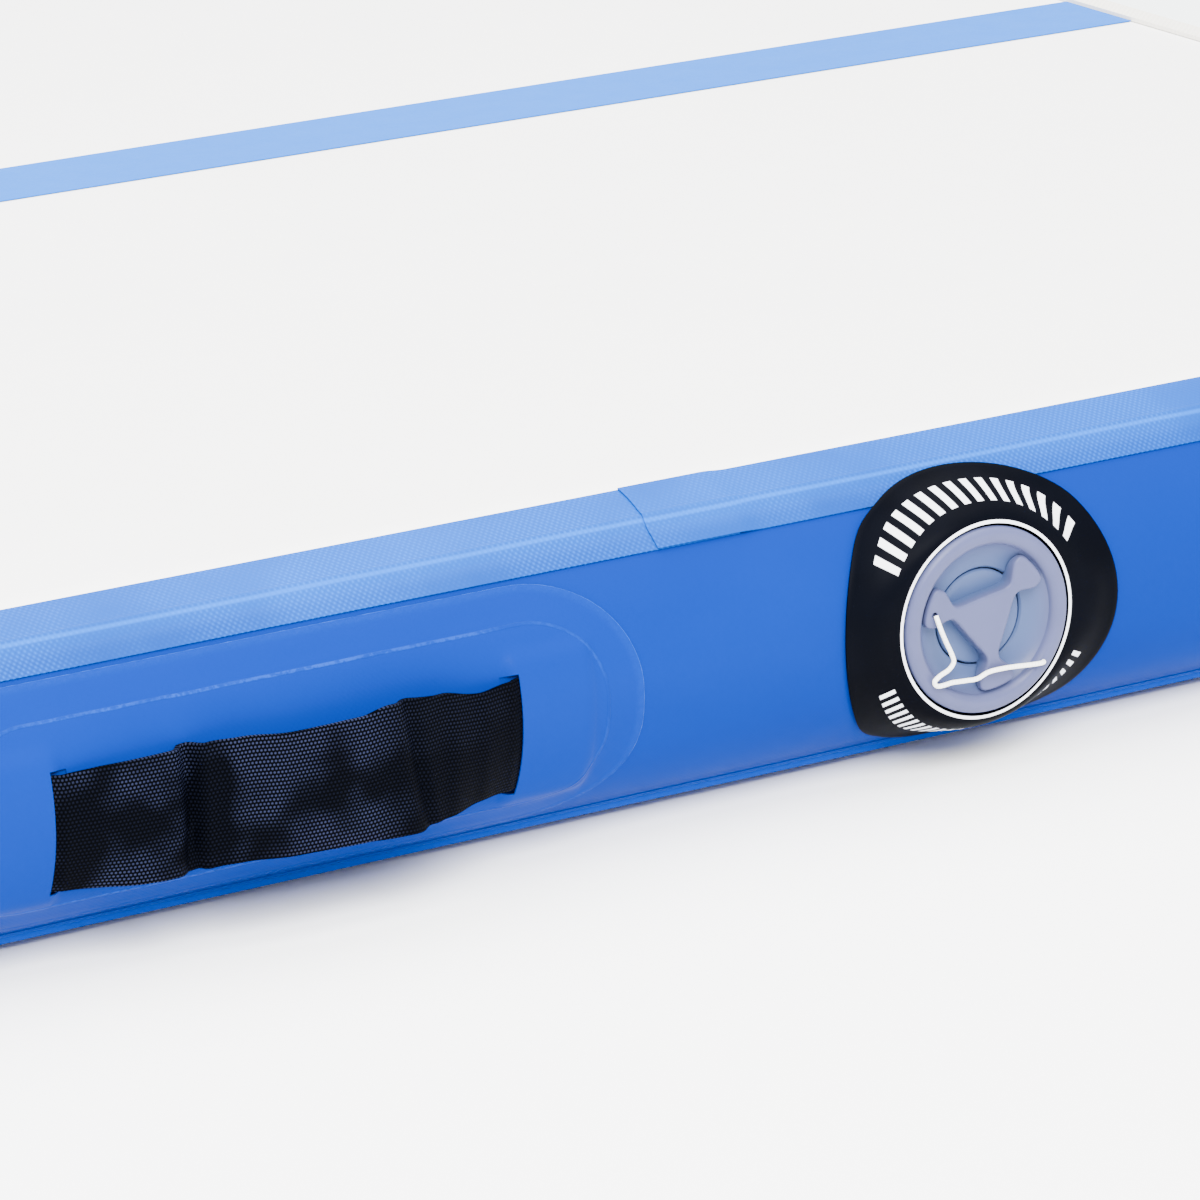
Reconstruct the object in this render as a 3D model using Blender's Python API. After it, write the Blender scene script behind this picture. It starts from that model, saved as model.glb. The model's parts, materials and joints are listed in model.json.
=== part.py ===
"""Inflated air track mat: two drop-stitched faces joined by a round side wall, with seam tapes,
webbing carry handles, raised end panels and a screw-cap inflation valve with its sprung poppet.

Metres, +Z up. +X runs along the mat, the valve is in the long side that faces -Y, and the origin is
under the middle of the mat, on the surface it lies on.
"""

import math

import bpy

# ---- Whole mat ----
MAT_LENGTH = 3.0
MAT_WIDTH = 1.0
MAT_THICKNESS = 0.1
CORNER_RADIUS = 0.1  # of the side wall, seen from above

# ---- Sheets, from the outside in ----
GAP = 0.0003  # between pieces that touch
CUTTER_REACH = 0.02  # helpers that cut reach this far outside the wall
FACE_SHEET = 0.0012
WALL_SHEET = 0.0012
CLOTH = 0.0008
SEAM_TAPE = 0.0006
WALL_DEG = 67.5  # the wall reaches this far above and below level, under the face sheets
FACE_EDGE_DEG = 63.0
CLOTH_EDGE_DEG = 72.0
TOP_TAPE_DEG = (48.4, 78.8)
BOTTOM_TAPE_DEG = (-78.8, -59.5)
TAPE_STEP_DEG = (60.4, 62.2)  # where a tape climbs from the wall onto the face sheet
ROW_STEP_DEG = 9.0
ROW_CLEAR_DEG = 1.5  # a step this near to a fixed row is left out
CORNER_STEPS = 5

# ---- Tape joints ----
TAPE_JOINT_FROM_VALVE = 0.105
TAPE_OVERLAP = 0.029
TAPE_RAMP = 0.006
JOINT_TAPE_REACH = 0.02  # along the straight wall; the other half ends at the corner's first bend
JOINT_TAPE_DEG = (-57.5, 46.5)

# ---- Markings and end panels on the deck ----
LINE_WIDTH = 0.0453
LINE_SHEET = 0.0003
END_ZONE_FROM_VALVE = 0.392
TRIM_WIDTH = 0.0105
TRIM_HEIGHT = 0.0016
END_PANEL_SHEET = 0.0008
DECK_MARGIN = 0.043  # from the side of the mat to the panels, clear of the seam tape

# ---- Drop stitching ----
STITCH_ROWS = 6
STITCH_PITCH = 0.2  # of the zigzag, along the mat
STITCH_YARN = 0.0024
STITCH_MARGIN = 0.125

# ---- Handles ----
HANDLE_X = 0.46
HANDLE_DROP = 0.0053  # from the middle of the wall's height down to the middle of the strap
STRAP_WIDTH = 0.038
STRAP_SHEET = 0.0014
STRAP_OPEN_HALF = 0.0755  # from the middle of the handle to the slit the strap comes out of
STRAP_TAIL = 0.0215
STRAP_BULGE = 0.0065
STRAP_FLATTEN = 0.028  # beyond the slit over which the strap stops following the round wall
STRAP_BENDS = (0.0, 0.012, 0.024, 0.036, 0.048, 0.06)
STRAP_ROWS = 6
SLIT_HALF = (0.0702, 0.0815)
SLIT_SPARE = 0.002
LEAST_CORNER = 0.004  # radius that an inset outline keeps
STRAP_CLIMB = (0.35, 0.65, 1.0)  # shares of the strap's climb that have a bend
SLIT_CLEAR = 0.004  # from the slit to the patch's nearest bend
HANDLE_PATCH_HALF = 0.118
HANDLE_PATCH_DEG = (-53.0, 46.0)
HANDLE_PATCH_CORNER = 0.038
HANDLE_BACKING_INSET = 0.0132
PATCH_SHEET = 0.0008
PATCH_RISE = (0.003, 0.0105)  # inset from the patch's edge over which it climbs onto the backing
PATCH_BENDS = (0.02, 0.0315)  # insets of its other bends
PATCH_ROWS_SPARE_DEG = 2.0
SHEET_SPARE = 0.001  # a sheet reaches this far past the outline that trims it

# ---- Valve: radii, and depths into the mat from the face of the rubber patch ----
VALVE_X = 0.6985
VALVE_PATCH_RADIUS = 0.0498
VALVE_PATCH_SHEET = 0.0012
PATCH_SIDES = 40
SEAT_FLAT = 0.0305  # radius over which the wall is clamped flat
SEAT_EDGE = 0.0425  # radius where the wall is round again
SEAT_DEPTH = 0.002
SEAT_STEPS = 5
SEAT_BLEND = 0.01
PATCH_OVER_TAPE_DEG = (-11.0, -4.0)  # from the tape's edge, where the rubber patch climbs onto it
GASKET = 0.001
GASKET_RADII = (0.0256, 0.0288)
FLANGE_RADIUS = 0.0295
FLANGE_PROUD = 0.0047
FLANGE_BEVEL = 0.0006
RIM_ROUND = 0.0018
RIM_FALL = 0.0024
RIM_STEPS = 3
BOWL_RADIUS = 0.0236
SKIRT_RADIUS = 0.0246
SKIRT_WALL = 0.0018
SKIRT_DEPTH = 0.012
BORE_RADIUS = 0.0154
BORE_TOP = 0.006
BOWL_LIP_DEPTH = -0.0018
BOWL_SAG = 0.0005
BOWL_WALL = (0.0026, 0.0012)  # behind the dish, at the skirt and at the tube
BORE_DEPTH = 0.014
THROAT_RADIUS = 0.0126
TUBE_RADIUS = 0.0172
TUBE_DEPTH = 0.029
SEAT_LIP_RADIUS = 0.0105
SEAT_LIP = 0.0012
NUT_RADIUS = 0.0284
NUT_COLLAR_RADIUS = 0.0268
NUT_DEPTHS = (0.0036, 0.0058, 0.0105)
HOLE_SPARE = 0.0005
VALVE_PANEL_MARGIN = 0.0024  # beside the hole, of the wall's valve panel: its joints lie under the patch
HOLE_CUT_DEPTHS = (-0.02, 0.03)
RUNNING = 0.0004  # radial clearance of the pieces that turn or slide
ROUND = 28
EDGE_BEVEL = 0.0006

# ---- Valve cap ----
CAP_DISC_TOP = 0.0058
CAP_DISC_BOTTOM = 0.0092
CAP_NECK_RADIUS = 0.0122
CAP_PLUG_TOP = 0.0122
CAP_BOTTOM = 0.013
CAP_PLUG_INSET = 0.001
O_RING_SECTION = 0.00125
O_RING_SIDES = 8
KNOB_TOP = -0.0038
KNOB_TIP_RADIUS = 0.0213
KNOB_TIP_HALF = 0.0058
KNOB_NECK_HALF = 0.0030
KNOB_TIP_BEND = 0.0012
KNOB_ROOT_HALF = 0.0041  # added to the neck at the hub
KNOB_ROOT = (0.003, 0.0125)
KNOB_FLARE = (0.0125, 0.0193)
KNOB_STATIONS = (0.0068, 0.0095, 0.0122, 0.015, 0.0178, 0.0201)
KNOB_ARM_DEG = (160.0, 40.0, -80.0)
KNOB_BOWL_GAP = 0.0007
KNOB_UNDER = 0.0018
KNOB_BORE_INSET = 0.0012
TETHER_HOLE_RADIUS = 0.0011
TETHER_HOLE_SIDES = 12

# ---- Valve poppet ----
GUIDE_DEPTHS = (0.0242, 0.0262)
GUIDE_HUB_RADIUS = 0.0038
GUIDE_RING_WALL = 0.0015
GUIDE_RIB = 0.002
GUIDE_STEP = 0.0002  # the ring is this much thinner than the hub on each side, and the ribs again
STEM_RADIUS = 0.002
BUTTON_RADIUS = 0.005
BUTTON_DEPTHS = (0.014, 0.0155)
POPPET_RADIUS = 0.0145
POPPET_DEPTHS = (0.0308, 0.0335)
SEAL_RADII = (0.011, 0.0138)
SPRING_RADIUS = 0.0036
SPRING_WIRE = 0.0008
SPRING_TURNS = 4
SPRING_SIDES = 12
STEM_SIDES = 16

# ---- Cap tether: (right, up, depth) of each bend, from the valve's axis ----
TETHER_DIAMETER = 0.0015
TETHER_ROUTE = (
    (-0.0192, 0.0051, -0.0050),
    (-0.0184, 0.0010, -0.0055),
    (-0.0163, -0.0038, -0.0057),
    (-0.0146, -0.0074, -0.0057),
    (-0.0139, -0.0102, -0.0058),
    (-0.0158, -0.0122, -0.0060),
    (-0.0192, -0.0132, -0.0061),
    (-0.0212, -0.0150, -0.0062),
    (-0.0196, -0.0168, -0.0061),
    (-0.0146, -0.0166, -0.0059),
    (-0.0095, -0.0170, -0.0058),
    (-0.0053, -0.0172, -0.0057),
    (-0.0012, -0.0159, -0.0057),
    (0.0033, -0.0157, -0.0057),
    (0.0080, -0.0159, -0.0057),
    (0.0130, -0.0163, -0.0058),
    (0.0193, -0.0167, -0.0058),
)
TETHER_POINTS = 26

# ---- Worked out from the sizes above ----
FACE_R = MAT_THICKNESS / 2
WALL_R = FACE_R - FACE_SHEET - GAP
CORE_X = MAT_LENGTH / 2 - WALL_R
CORE_Y = MAT_WIDTH / 2 - WALL_R
CORE_CORNER = CORNER_RADIUS - WALL_R
STRAIGHT_X = CORE_X - CORE_CORNER
STRAIGHT_Y = CORE_Y - CORE_CORNER
MID_Z = MAT_THICKNESS / 2
VALVE_Z = MID_Z
HANDLE_CENTRE_Z = MID_Z - HANDLE_DROP
SEAT_Y = -MAT_WIDTH / 2 + SEAT_DEPTH
PATCH_Y = SEAT_Y - GAP - VALVE_PATCH_SHEET
GASKET_FRONT = -GAP - GASKET
FLANGE_BACK = GASKET_FRONT - GAP
VALVE_PANEL_HALF = SKIRT_RADIUS + HOLE_SPARE + VALVE_PANEL_MARGIN
END_ZONE_X = VALVE_X + END_ZONE_FROM_VALVE
BACKING_LIFT = GAP
TAIL_LIFT = BACKING_LIFT + PATCH_SHEET + GAP
PLATEAU_LIFT = TAIL_LIFT + STRAP_SHEET + GAP
STRAP_LIFT = PLATEAU_LIFT + PATCH_SHEET + GAP


# ---- Materials ----

def material(name, colour, roughness, metallic=0.0):
    made = bpy.data.materials.new(name)
    made.use_nodes = True
    shader = made.node_tree.nodes["Principled BSDF"]
    shader.inputs["Base Color"].default_value = (*colour, 1.0)
    shader.inputs["Roughness"].default_value = roughness
    shader.inputs["Metallic"].default_value = metallic
    return made


def clear_scene():
    for obj in list(bpy.data.objects):
        bpy.data.objects.remove(obj, do_unlink=True)


# ---- Meshes ----

def add_object(name, points, faces, finish=None):
    mesh = bpy.data.meshes.new(name)
    mesh.from_pydata(points, [], faces)
    mesh.validate()
    if finish:
        mesh.materials.append(finish)
    obj = bpy.data.objects.new(name, mesh)
    bpy.context.scene.collection.objects.link(obj)
    return obj


def shade_round(obj, degrees=35.0):
    obj.data.shade_smooth()
    obj.data.set_sharp_from_angle(angle=math.radians(degrees))


def shell(name, outer, inner, finish, closed=False):
    """One closed body between two grids of points, outer[station][row] and inner[station][row].
    Closed joins the last station to the first. Both sides are split along the same diagonals."""
    stations, rows = len(outer), len(outer[0])
    points = [p for line in outer for p in line] + [p for line in inner for p in line]
    under = stations * rows
    spans = stations if closed else stations - 1
    faces = []
    for i in range(spans):
        j = (i + 1) % stations
        for k in range(rows - 1):
            a, b = i * rows + k, j * rows + k
            faces += [(a, b, b + 1), (a, b + 1, a + 1)]
            faces += [(under + a, under + b + 1, under + b), (under + a, under + a + 1, under + b + 1)]
        low, high = i * rows, j * rows
        faces.append((low, under + low, under + high, high))
        low, high = low + rows - 1, high + rows - 1
        faces.append((low, high, under + high, under + low))
    if not closed:
        last = (stations - 1) * rows
        for k in range(rows - 1):
            faces.append((k, k + 1, under + k + 1, under + k))
            faces.append((last + k, under + last + k, under + last + k + 1, last + k + 1))
    obj = add_object(name, points, faces, finish)
    shade_round(obj)
    return obj


def prism(name, outline, low, high, finish=None, axis="y"):
    """An outline of (right, up) points carried from low to high along +Y, or along +Z as (x, y)."""
    count = len(outline)
    if axis == "y":
        points = [(u, low, v) for u, v in outline] + [(u, high, v) for u, v in outline]
    else:
        points = [(u, v, high) for u, v in outline] + [(u, v, low) for u, v in outline]
    faces = [tuple(range(count)), tuple(range(2 * count - 1, count - 1, -1))]
    for i in range(count):
        j = (i + 1) % count
        faces.append((i, count + i, count + j, j))
    return add_object(name, points, faces, finish)


def turned(name, profile, finish, steps=ROUND, sharp=35.0):
    """A closed (radius, depth) profile turned about the valve's axis."""
    count = len(profile)
    points = []
    for i in range(steps):
        angle = 2 * math.pi * i / steps
        points += [valve_point(r * math.cos(angle), r * math.sin(angle), d) for r, d in profile]
    faces = []
    for i in range(steps):
        j = (i + 1) % steps
        for k in range(count):
            m = (k + 1) % count
            faces.append((i * count + k, i * count + m, j * count + m, j * count + k))
    obj = add_object(name, points, faces, finish)
    outwards(obj)
    shade_round(obj, sharp)
    return obj


def turned_solid(name, profile, finish=None, steps=ROUND):
    """An open (radius, depth) profile, both ends on the valve's axis, turned to a solid."""
    ring = profile[1:-1]
    count = len(ring)
    points = [valve_point(0.0, 0.0, profile[0][1]), valve_point(0.0, 0.0, profile[-1][1])]
    for i in range(steps):
        angle = 2 * math.pi * i / steps
        points += [valve_point(r * math.cos(angle), r * math.sin(angle), d) for r, d in ring]
    faces = []
    for i in range(steps):
        a, b = 2 + i * count, 2 + (i + 1) % steps * count
        faces += [(0, a, b), (1, b + count - 1, a + count - 1)]
        faces += [(a + k, a + k + 1, b + k + 1, b + k) for k in range(count - 1)]
    obj = add_object(name, points, faces, finish)
    outwards(obj)
    shade_round(obj)
    return obj


def set_origin(obj, origin):
    """Moves an object's origin without moving the object: a moving piece turns and slides about it."""
    for vertex in obj.data.vertices:
        vertex.co = [v - o for v, o in zip(vertex.co, origin)]
    obj.location = origin


def outwards(obj):
    """Turns the faces of a closed body out when the volume that they enclose is negative."""
    mesh = obj.data
    volume = 0.0
    for face in mesh.polygons:
        corners = [mesh.vertices[v].co for v in face.vertices]
        for i in range(1, len(corners) - 1):
            volume += corners[0].dot(corners[i].cross(corners[i + 1]))
    if volume < 0:
        mesh.flip_normals()


def boolean(obj, other, operation):
    """Adds an exact Boolean with a helper that the render leaves out."""
    outwards(other)
    other.hide_render = True
    other.display_type = "WIRE"
    step = obj.modifiers.new(operation.lower(), "BOOLEAN")
    step.operation = operation
    step.solver = "EXACT"
    step.object = other
    return obj


# ---- Section and plan of the mat ----

def smooth(value):
    value = min(max(value, 0.0), 1.0)
    return value * value * (3 - 2 * value)


def rows_between(low, high, extra=()):
    """The angles of a section: its two ends, the multiples of the row step between, and any extra."""
    first = math.ceil(low / ROW_STEP_DEG)
    inside = [ROW_STEP_DEG * i for i in range(first, math.floor(high / ROW_STEP_DEG) + 1)]
    fixed = [low, high, *extra]
    return sorted(fixed + [a for a in inside if all(abs(a - f) > ROW_CLEAR_DEG for f in fixed)])


def front_stations(xs, side=-1):
    """Stations (x, y, outward x, outward y) on the core line of a long side, front or back."""
    return [(x, side * CORE_Y, 0.0, float(side)) for x in xs]


def corner_stations(sign_x, sign_y):
    """Stations round one corner, anticlockwise seen from above."""
    start = {(1, -1): -90.0, (1, 1): 0.0, (-1, 1): 90.0, (-1, -1): 180.0}[(sign_x, sign_y)]
    made = []
    for i in range(CORNER_STEPS + 1):
        angle = math.radians(start + 90.0 * i / CORNER_STEPS)
        nx, ny = math.cos(angle), math.sin(angle)
        x = sign_x * STRAIGHT_X + CORE_CORNER * nx
        y = sign_y * STRAIGHT_Y + CORE_CORNER * ny
        made.append((x, y, nx, ny))
    return made


def right_end_stations():
    return corner_stations(1, -1) + corner_stations(1, 1)


def left_end_stations():
    return corner_stations(-1, 1) + corner_stations(-1, -1)


def loop_stations():
    """The whole core line once round, anticlockwise from the front left corner."""
    return right_end_stations() + left_end_stations()


def seat_xs(low, high):
    """Stations along the front wall: its ends, and closer ones across the valve's flat seat."""
    reach = (VALVE_PANEL_HALF, SEAT_FLAT, (SEAT_FLAT + SEAT_EDGE) / 2, SEAT_EDGE, SEAT_EDGE + SEAT_BLEND)
    inner = tuple(SEAT_FLAT * i / SEAT_STEPS for i in range(SEAT_STEPS))
    near = {round(VALVE_X + s * r, 6) for r in inner + reach for s in (-1, 1)}
    return [low] + sorted(x for x in near if low < x < high) + [high]


def section_point(station, degrees, lift):
    """A point of the section, lift outside the wall's own surface, with the flat seat of the valve."""
    x, y, nx, ny = station
    phi = math.radians(degrees)
    reach = (WALL_R + lift) * math.cos(phi)
    z = MID_Z + (WALL_R + lift) * math.sin(phi)
    px, py = x + nx * reach, y + ny * reach
    if ny == -1.0:
        away = math.hypot(px - VALVE_X, z - VALVE_Z)
        share = 1 - smooth((away - SEAT_FLAT) / (SEAT_EDGE - SEAT_FLAT))
        py += (SEAT_Y - lift - py) * share
    return (px, py, z)


def section_shell(name, stations, degrees, lift, thickness, finish, closed=False):
    """A sheet on the section, its inner face lift outside the wall. lift may depend on the place."""
    def height(station, angle):
        return lift(station, angle) if callable(lift) else lift

    inner = [[section_point(s, a, height(s, a)) for a in degrees] for s in stations]
    outer = [[section_point(s, a, height(s, a) + thickness) for a in degrees] for s in stations]
    return shell(name, outer, inner, finish, closed)


def face_sheet(name, top, radius, edge_deg, thickness, finish):
    """A flat face whose edge turns down over the shoulder: top is 1 for the deck, -1 for the base."""
    degrees = [top * a for a in rows_between(edge_deg, 90.0)]
    stations = loop_stations()
    count = len(stations)
    rings = []
    for r in (radius, radius - thickness):
        order = degrees if r == radius else degrees[::-1]
        for a in order:
            rings.append([section_point_at_radius(s, a, r) for s in stations])
    points = [p for ring in rings for p in ring]
    faces = []
    whole = len(rings)
    split = len(degrees) - 1
    for k in range(whole):
        m = (k + 1) % whole
        if k == split:
            continue
        for i in range(count):
            j = (i + 1) % count
            faces.append((k * count + i, k * count + j, m * count + j, m * count + i))
    flat, under = split * count, (split + 1) * count
    faces.append(tuple(flat + i for i in range(count)))
    faces.append(tuple(under + count - 1 - i for i in range(count)))
    obj = add_object(name, points, faces, finish)
    outwards(obj)
    shade_round(obj)
    return obj


def section_point_at_radius(station, degrees, radius):
    x, y, nx, ny = station
    phi = math.radians(degrees)
    reach = radius * math.cos(phi)
    return (x + nx * reach, y + ny * reach, MID_Z + radius * math.sin(phi))


# ---- The inflated body ----

def build_faces(finishes):
    face_sheet("deck_sheet", 1, FACE_R, FACE_EDGE_DEG, FACE_SHEET, finishes["deck"])
    face_sheet("base_sheet", -1, FACE_R, FACE_EDGE_DEG, FACE_SHEET, finishes["base"])
    inner = FACE_R - FACE_SHEET - GAP
    face_sheet("upper_cloth", 1, inner, CLOTH_EDGE_DEG, CLOTH, finishes["cloth"])
    face_sheet("lower_cloth", -1, inner, CLOTH_EDGE_DEG, CLOTH, finishes["cloth"])


def build_stitching(finish):
    """Zigzag rows of yarn between the two cloths, each row one piece."""
    high = MAT_THICKNESS - FACE_SHEET - CLOTH - 3 * GAP - STITCH_YARN
    low = MAT_THICKNESS - high
    length = 2 * (STRAIGHT_X - CORE_CORNER)
    legs = 2 * round(length / STITCH_PITCH)
    pitch = length / legs
    breadth = MAT_WIDTH - 2 * STITCH_MARGIN
    for row in range(STITCH_ROWS):
        y = -breadth / 2 + breadth * row / (STITCH_ROWS - 1)
        spine = [(-length / 2 + i * pitch, low if i % 2 else high) for i in range(legs + 1)]
        outline = [(x, z - STITCH_YARN) for x, z in spine]
        outline += [(x, z + STITCH_YARN) for x, z in spine[::-1]]
        half = STITCH_YARN / 2
        outwards(prism(f"drop_stitch_row_{row + 1}", outline, y - half, y + half, finish))


def hole_cutter(name, radius):
    """A helper: a round bar along the valve's axis, through the wall and all that lies on it."""
    front, back = HOLE_CUT_DEPTHS
    return turned_solid(name, ((0, front), (radius, front), (radius, back), (0, back)))


def build_walls(finish):
    shared = (BOTTOM_TAPE_DEG[1], TOP_TAPE_DEG[0], *TAPE_STEP_DEG)
    degrees = rows_between(-WALL_DEG, WALL_DEG, extra=shared)
    end = STRAIGHT_X - GAP / 2
    left, right = VALVE_X - VALVE_PANEL_HALF, VALVE_X + VALVE_PANEL_HALF
    spans = (
        ("front_wall_left", -end, left - GAP / 2),
        ("front_wall_valve", left + GAP / 2, right - GAP / 2),
        ("front_wall_right", right + GAP / 2, end),
    )
    for name, low, high in spans:
        front = front_stations(seat_xs(low, high))
        wall = section_shell(name, front, degrees, -WALL_SHEET, WALL_SHEET, finish)
        if name == "front_wall_valve":
            boolean(wall, hole_cutter("wall_hole_cutter", SKIRT_RADIUS + HOLE_SPARE), "DIFFERENCE")
    back = front_stations((end, 0.0, -end), side=1)
    section_shell("back_wall", back, degrees, -WALL_SHEET, WALL_SHEET, finish)
    for name, stations in (("right_wall", right_end_stations()), ("left_wall", left_end_stations())):
        sign = math.copysign(1.0, stations[0][0])
        first, last = stations[0], stations[-1]
        clear = sign * GAP / 2
        stations = [(first[0] + clear, *first[1:])] + stations[1:-1] + [(last[0] + clear, *last[1:])]
        section_shell(name, stations, degrees, -WALL_SHEET, WALL_SHEET, finish)


def joint_tape_stations(sign_x, side):
    """From the straight wall to the corner's first bend, in the order of the core line."""
    corner = corner_stations(sign_x, side)
    straight = front_stations((sign_x * (STRAIGHT_X - JOINT_TAPE_REACH),), side)
    if sign_x * side < 0:
        return straight + corner[:2]
    return corner[-2:] + straight


def build_joint_tapes(finish):
    """The tapes over the joints between the long walls and the end walls."""
    degrees = rows_between(*JOINT_TAPE_DEG)
    for side_name, side in (("front", -1), ("back", 1)):
        for end_name, sign in (("left", -1), ("right", 1)):
            stations = joint_tape_stations(sign, side)
            name = f"joint_tape_{side_name}_{end_name}"
            section_shell(name, stations, degrees, GAP, SEAM_TAPE, finish)


def tape_stations():
    """Once round the mat from the joint near the valve and past it again, with the tape's extra lift:
    the end that lies on top is lifted over the one underneath."""
    start = VALVE_X - TAPE_JOINT_FROM_VALVE
    end = start + TAPE_OVERLAP
    on_top = SEAM_TAPE + GAP
    first = [start, end + TAPE_RAMP, end + 2 * TAPE_RAMP]
    xs = sorted(set(first + [x for x in seat_xs(start, STRAIGHT_X) if x > end + 2 * TAPE_RAMP]))
    lifts = {start: on_top, end + TAPE_RAMP: on_top}
    stations = front_stations(xs[:-1])
    made = [(s, lifts.get(s[0], 0.0)) for s in stations]
    made += [(s, 0.0) for s in right_end_stations() + left_end_stations()]
    made.append((front_stations((end,))[0], 0.0))
    return made


def seam_tape(name, degrees_range, finish, overlapped):
    """A tape over the seam between a face sheet and the wall, stepping up onto the face sheet."""
    sign = 1 if degrees_range[1] > 0 else -1
    steps = [sign * a for a in TAPE_STEP_DEG]
    degrees = rows_between(*degrees_range, extra=steps)
    climb = FACE_R - WALL_R

    def base_lift(angle):
        low, high = TAPE_STEP_DEG
        return GAP + climb * min(max((abs(angle) - low) / (high - low), 0.0), 1.0)

    if overlapped:
        placed = tape_stations()
    else:
        placed = [(s, 0.0) for s in loop_stations()]
    extra = {s: lift for s, lift in placed}
    stations = [s for s, _ in placed]
    return section_shell(
        name, stations, degrees, lambda s, a: base_lift(a) + extra[s], SEAM_TAPE, finish, not overlapped
    )


# ---- Deck markings ----

def slab(name, low, high, finish):
    (x0, y0, z0), (x1, y1, z1) = low, high
    outline = ((x0, y0), (x1, y0), (x1, y1), (x0, y1))
    made = prism(name, outline, z0, z1, finish, axis="z")
    outwards(made)
    return made


def build_deck_markings(finishes):
    floor = MAT_THICKNESS + GAP
    line_end = END_ZONE_X - GAP
    half = LINE_WIDTH / 2
    top = floor + LINE_SHEET
    slab("centre_line", (-line_end, -half, floor), (line_end, half, top), finishes["line"])
    side = MAT_WIDTH / 2 - DECK_MARGIN
    flat_end = MAT_LENGTH / 2 - DECK_MARGIN
    corner = CORNER_RADIUS - DECK_MARGIN
    inner_x = END_ZONE_X + TRIM_WIDTH + GAP
    for name, sign in (("right", 1), ("left", -1)):
        near, far = sorted((sign * END_ZONE_X, sign * (END_ZONE_X + TRIM_WIDTH)))
        top = floor + TRIM_HEIGHT
        slab(f"end_trim_{name}", (near, -side, floor), (far, side, top), finishes["trim"])
        outline = [(sign * inner_x, -side)]
        for start in (-90.0, 0.0):
            for i in range(CORNER_STEPS + 1):
                angle = math.radians(start + 90.0 * i / CORNER_STEPS)
                x = flat_end - corner + corner * math.cos(angle)
                y = math.copysign(side - corner, start + 1) + corner * math.sin(angle)
                outline.append((sign * x, y))
        outline.append((sign * inner_x, side))
        panel = prism(
            f"end_panel_{name}", outline, floor, floor + END_PANEL_SHEET, finishes["panel"], axis="z"
        )
        outwards(panel)


# ---- Carry handles ----

def rounded_outline(half_x, low_deg, high_deg, corner, inset=0.0):
    """A rounded rectangle laid on the round wall, as (x, z) from the middle of the handle."""
    low, high = math.radians(low_deg) * WALL_R + inset, math.radians(high_deg) * WALL_R - inset
    half_x, corner = half_x - inset, max(corner - inset, LEAST_CORNER)
    points = []
    for sx, sv, start in ((1, -1, -90.0), (1, 1, 0.0), (-1, 1, 90.0), (-1, -1, 180.0)):
        for i in range(CORNER_STEPS + 1):
            angle = math.radians(start + 90.0 * i / CORNER_STEPS)
            v = (high if sv > 0 else low) - sv * corner + corner * math.sin(angle)
            x = sx * (half_x - corner) + corner * math.cos(angle)
            points.append((x, MID_Z + WALL_R * math.sin(v / WALL_R)))
    return points


def patch_inset(x, degrees):
    """How far a point lies inside the outer patch's rounded outline."""
    low, high = (math.radians(a) * WALL_R for a in HANDLE_PATCH_DEG)
    v = math.radians(degrees) * WALL_R - (low + high) / 2
    corner = HANDLE_PATCH_CORNER
    dx = abs(x) - (HANDLE_PATCH_HALF - corner)
    dv = abs(v) - ((high - low) / 2 - corner)
    outside = math.hypot(max(dx, 0.0), max(dv, 0.0))
    return corner - outside - min(max(dx, dv), 0.0)


def patch_lift(x, degrees):
    low, high = PATCH_RISE
    return GAP + (PLATEAU_LIFT - GAP) * smooth((patch_inset(x, degrees) - low) / (high - low))


def strap_lift(x):
    """Height of the strap's inner face: on the backing, up through the slit, then out in a bulge."""
    rise_end, rise_start = SLIT_HALF[0] + GAP + STRAP_SHEET, SLIT_HALF[1] - STRAP_SHEET
    away = abs(x)
    climb = smooth((rise_start - away) / (rise_start - rise_end))
    bulge = STRAP_BULGE * max(0.0, 1 - (away / rise_end) ** 2)
    return TAIL_LIFT + (STRAP_LIFT - TAIL_LIFT) * climb + bulge


def strap_point(x, height, lift, flat, side):
    """A point of the strap: it lies round the wall at its ends and stands flat between."""
    radius = WALL_R + lift
    phi = math.asin((height - MID_Z) / radius)
    reach = radius * (math.cos(phi) * (1 - flat) + flat)
    return (x, side * (CORE_Y + reach), height)


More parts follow.
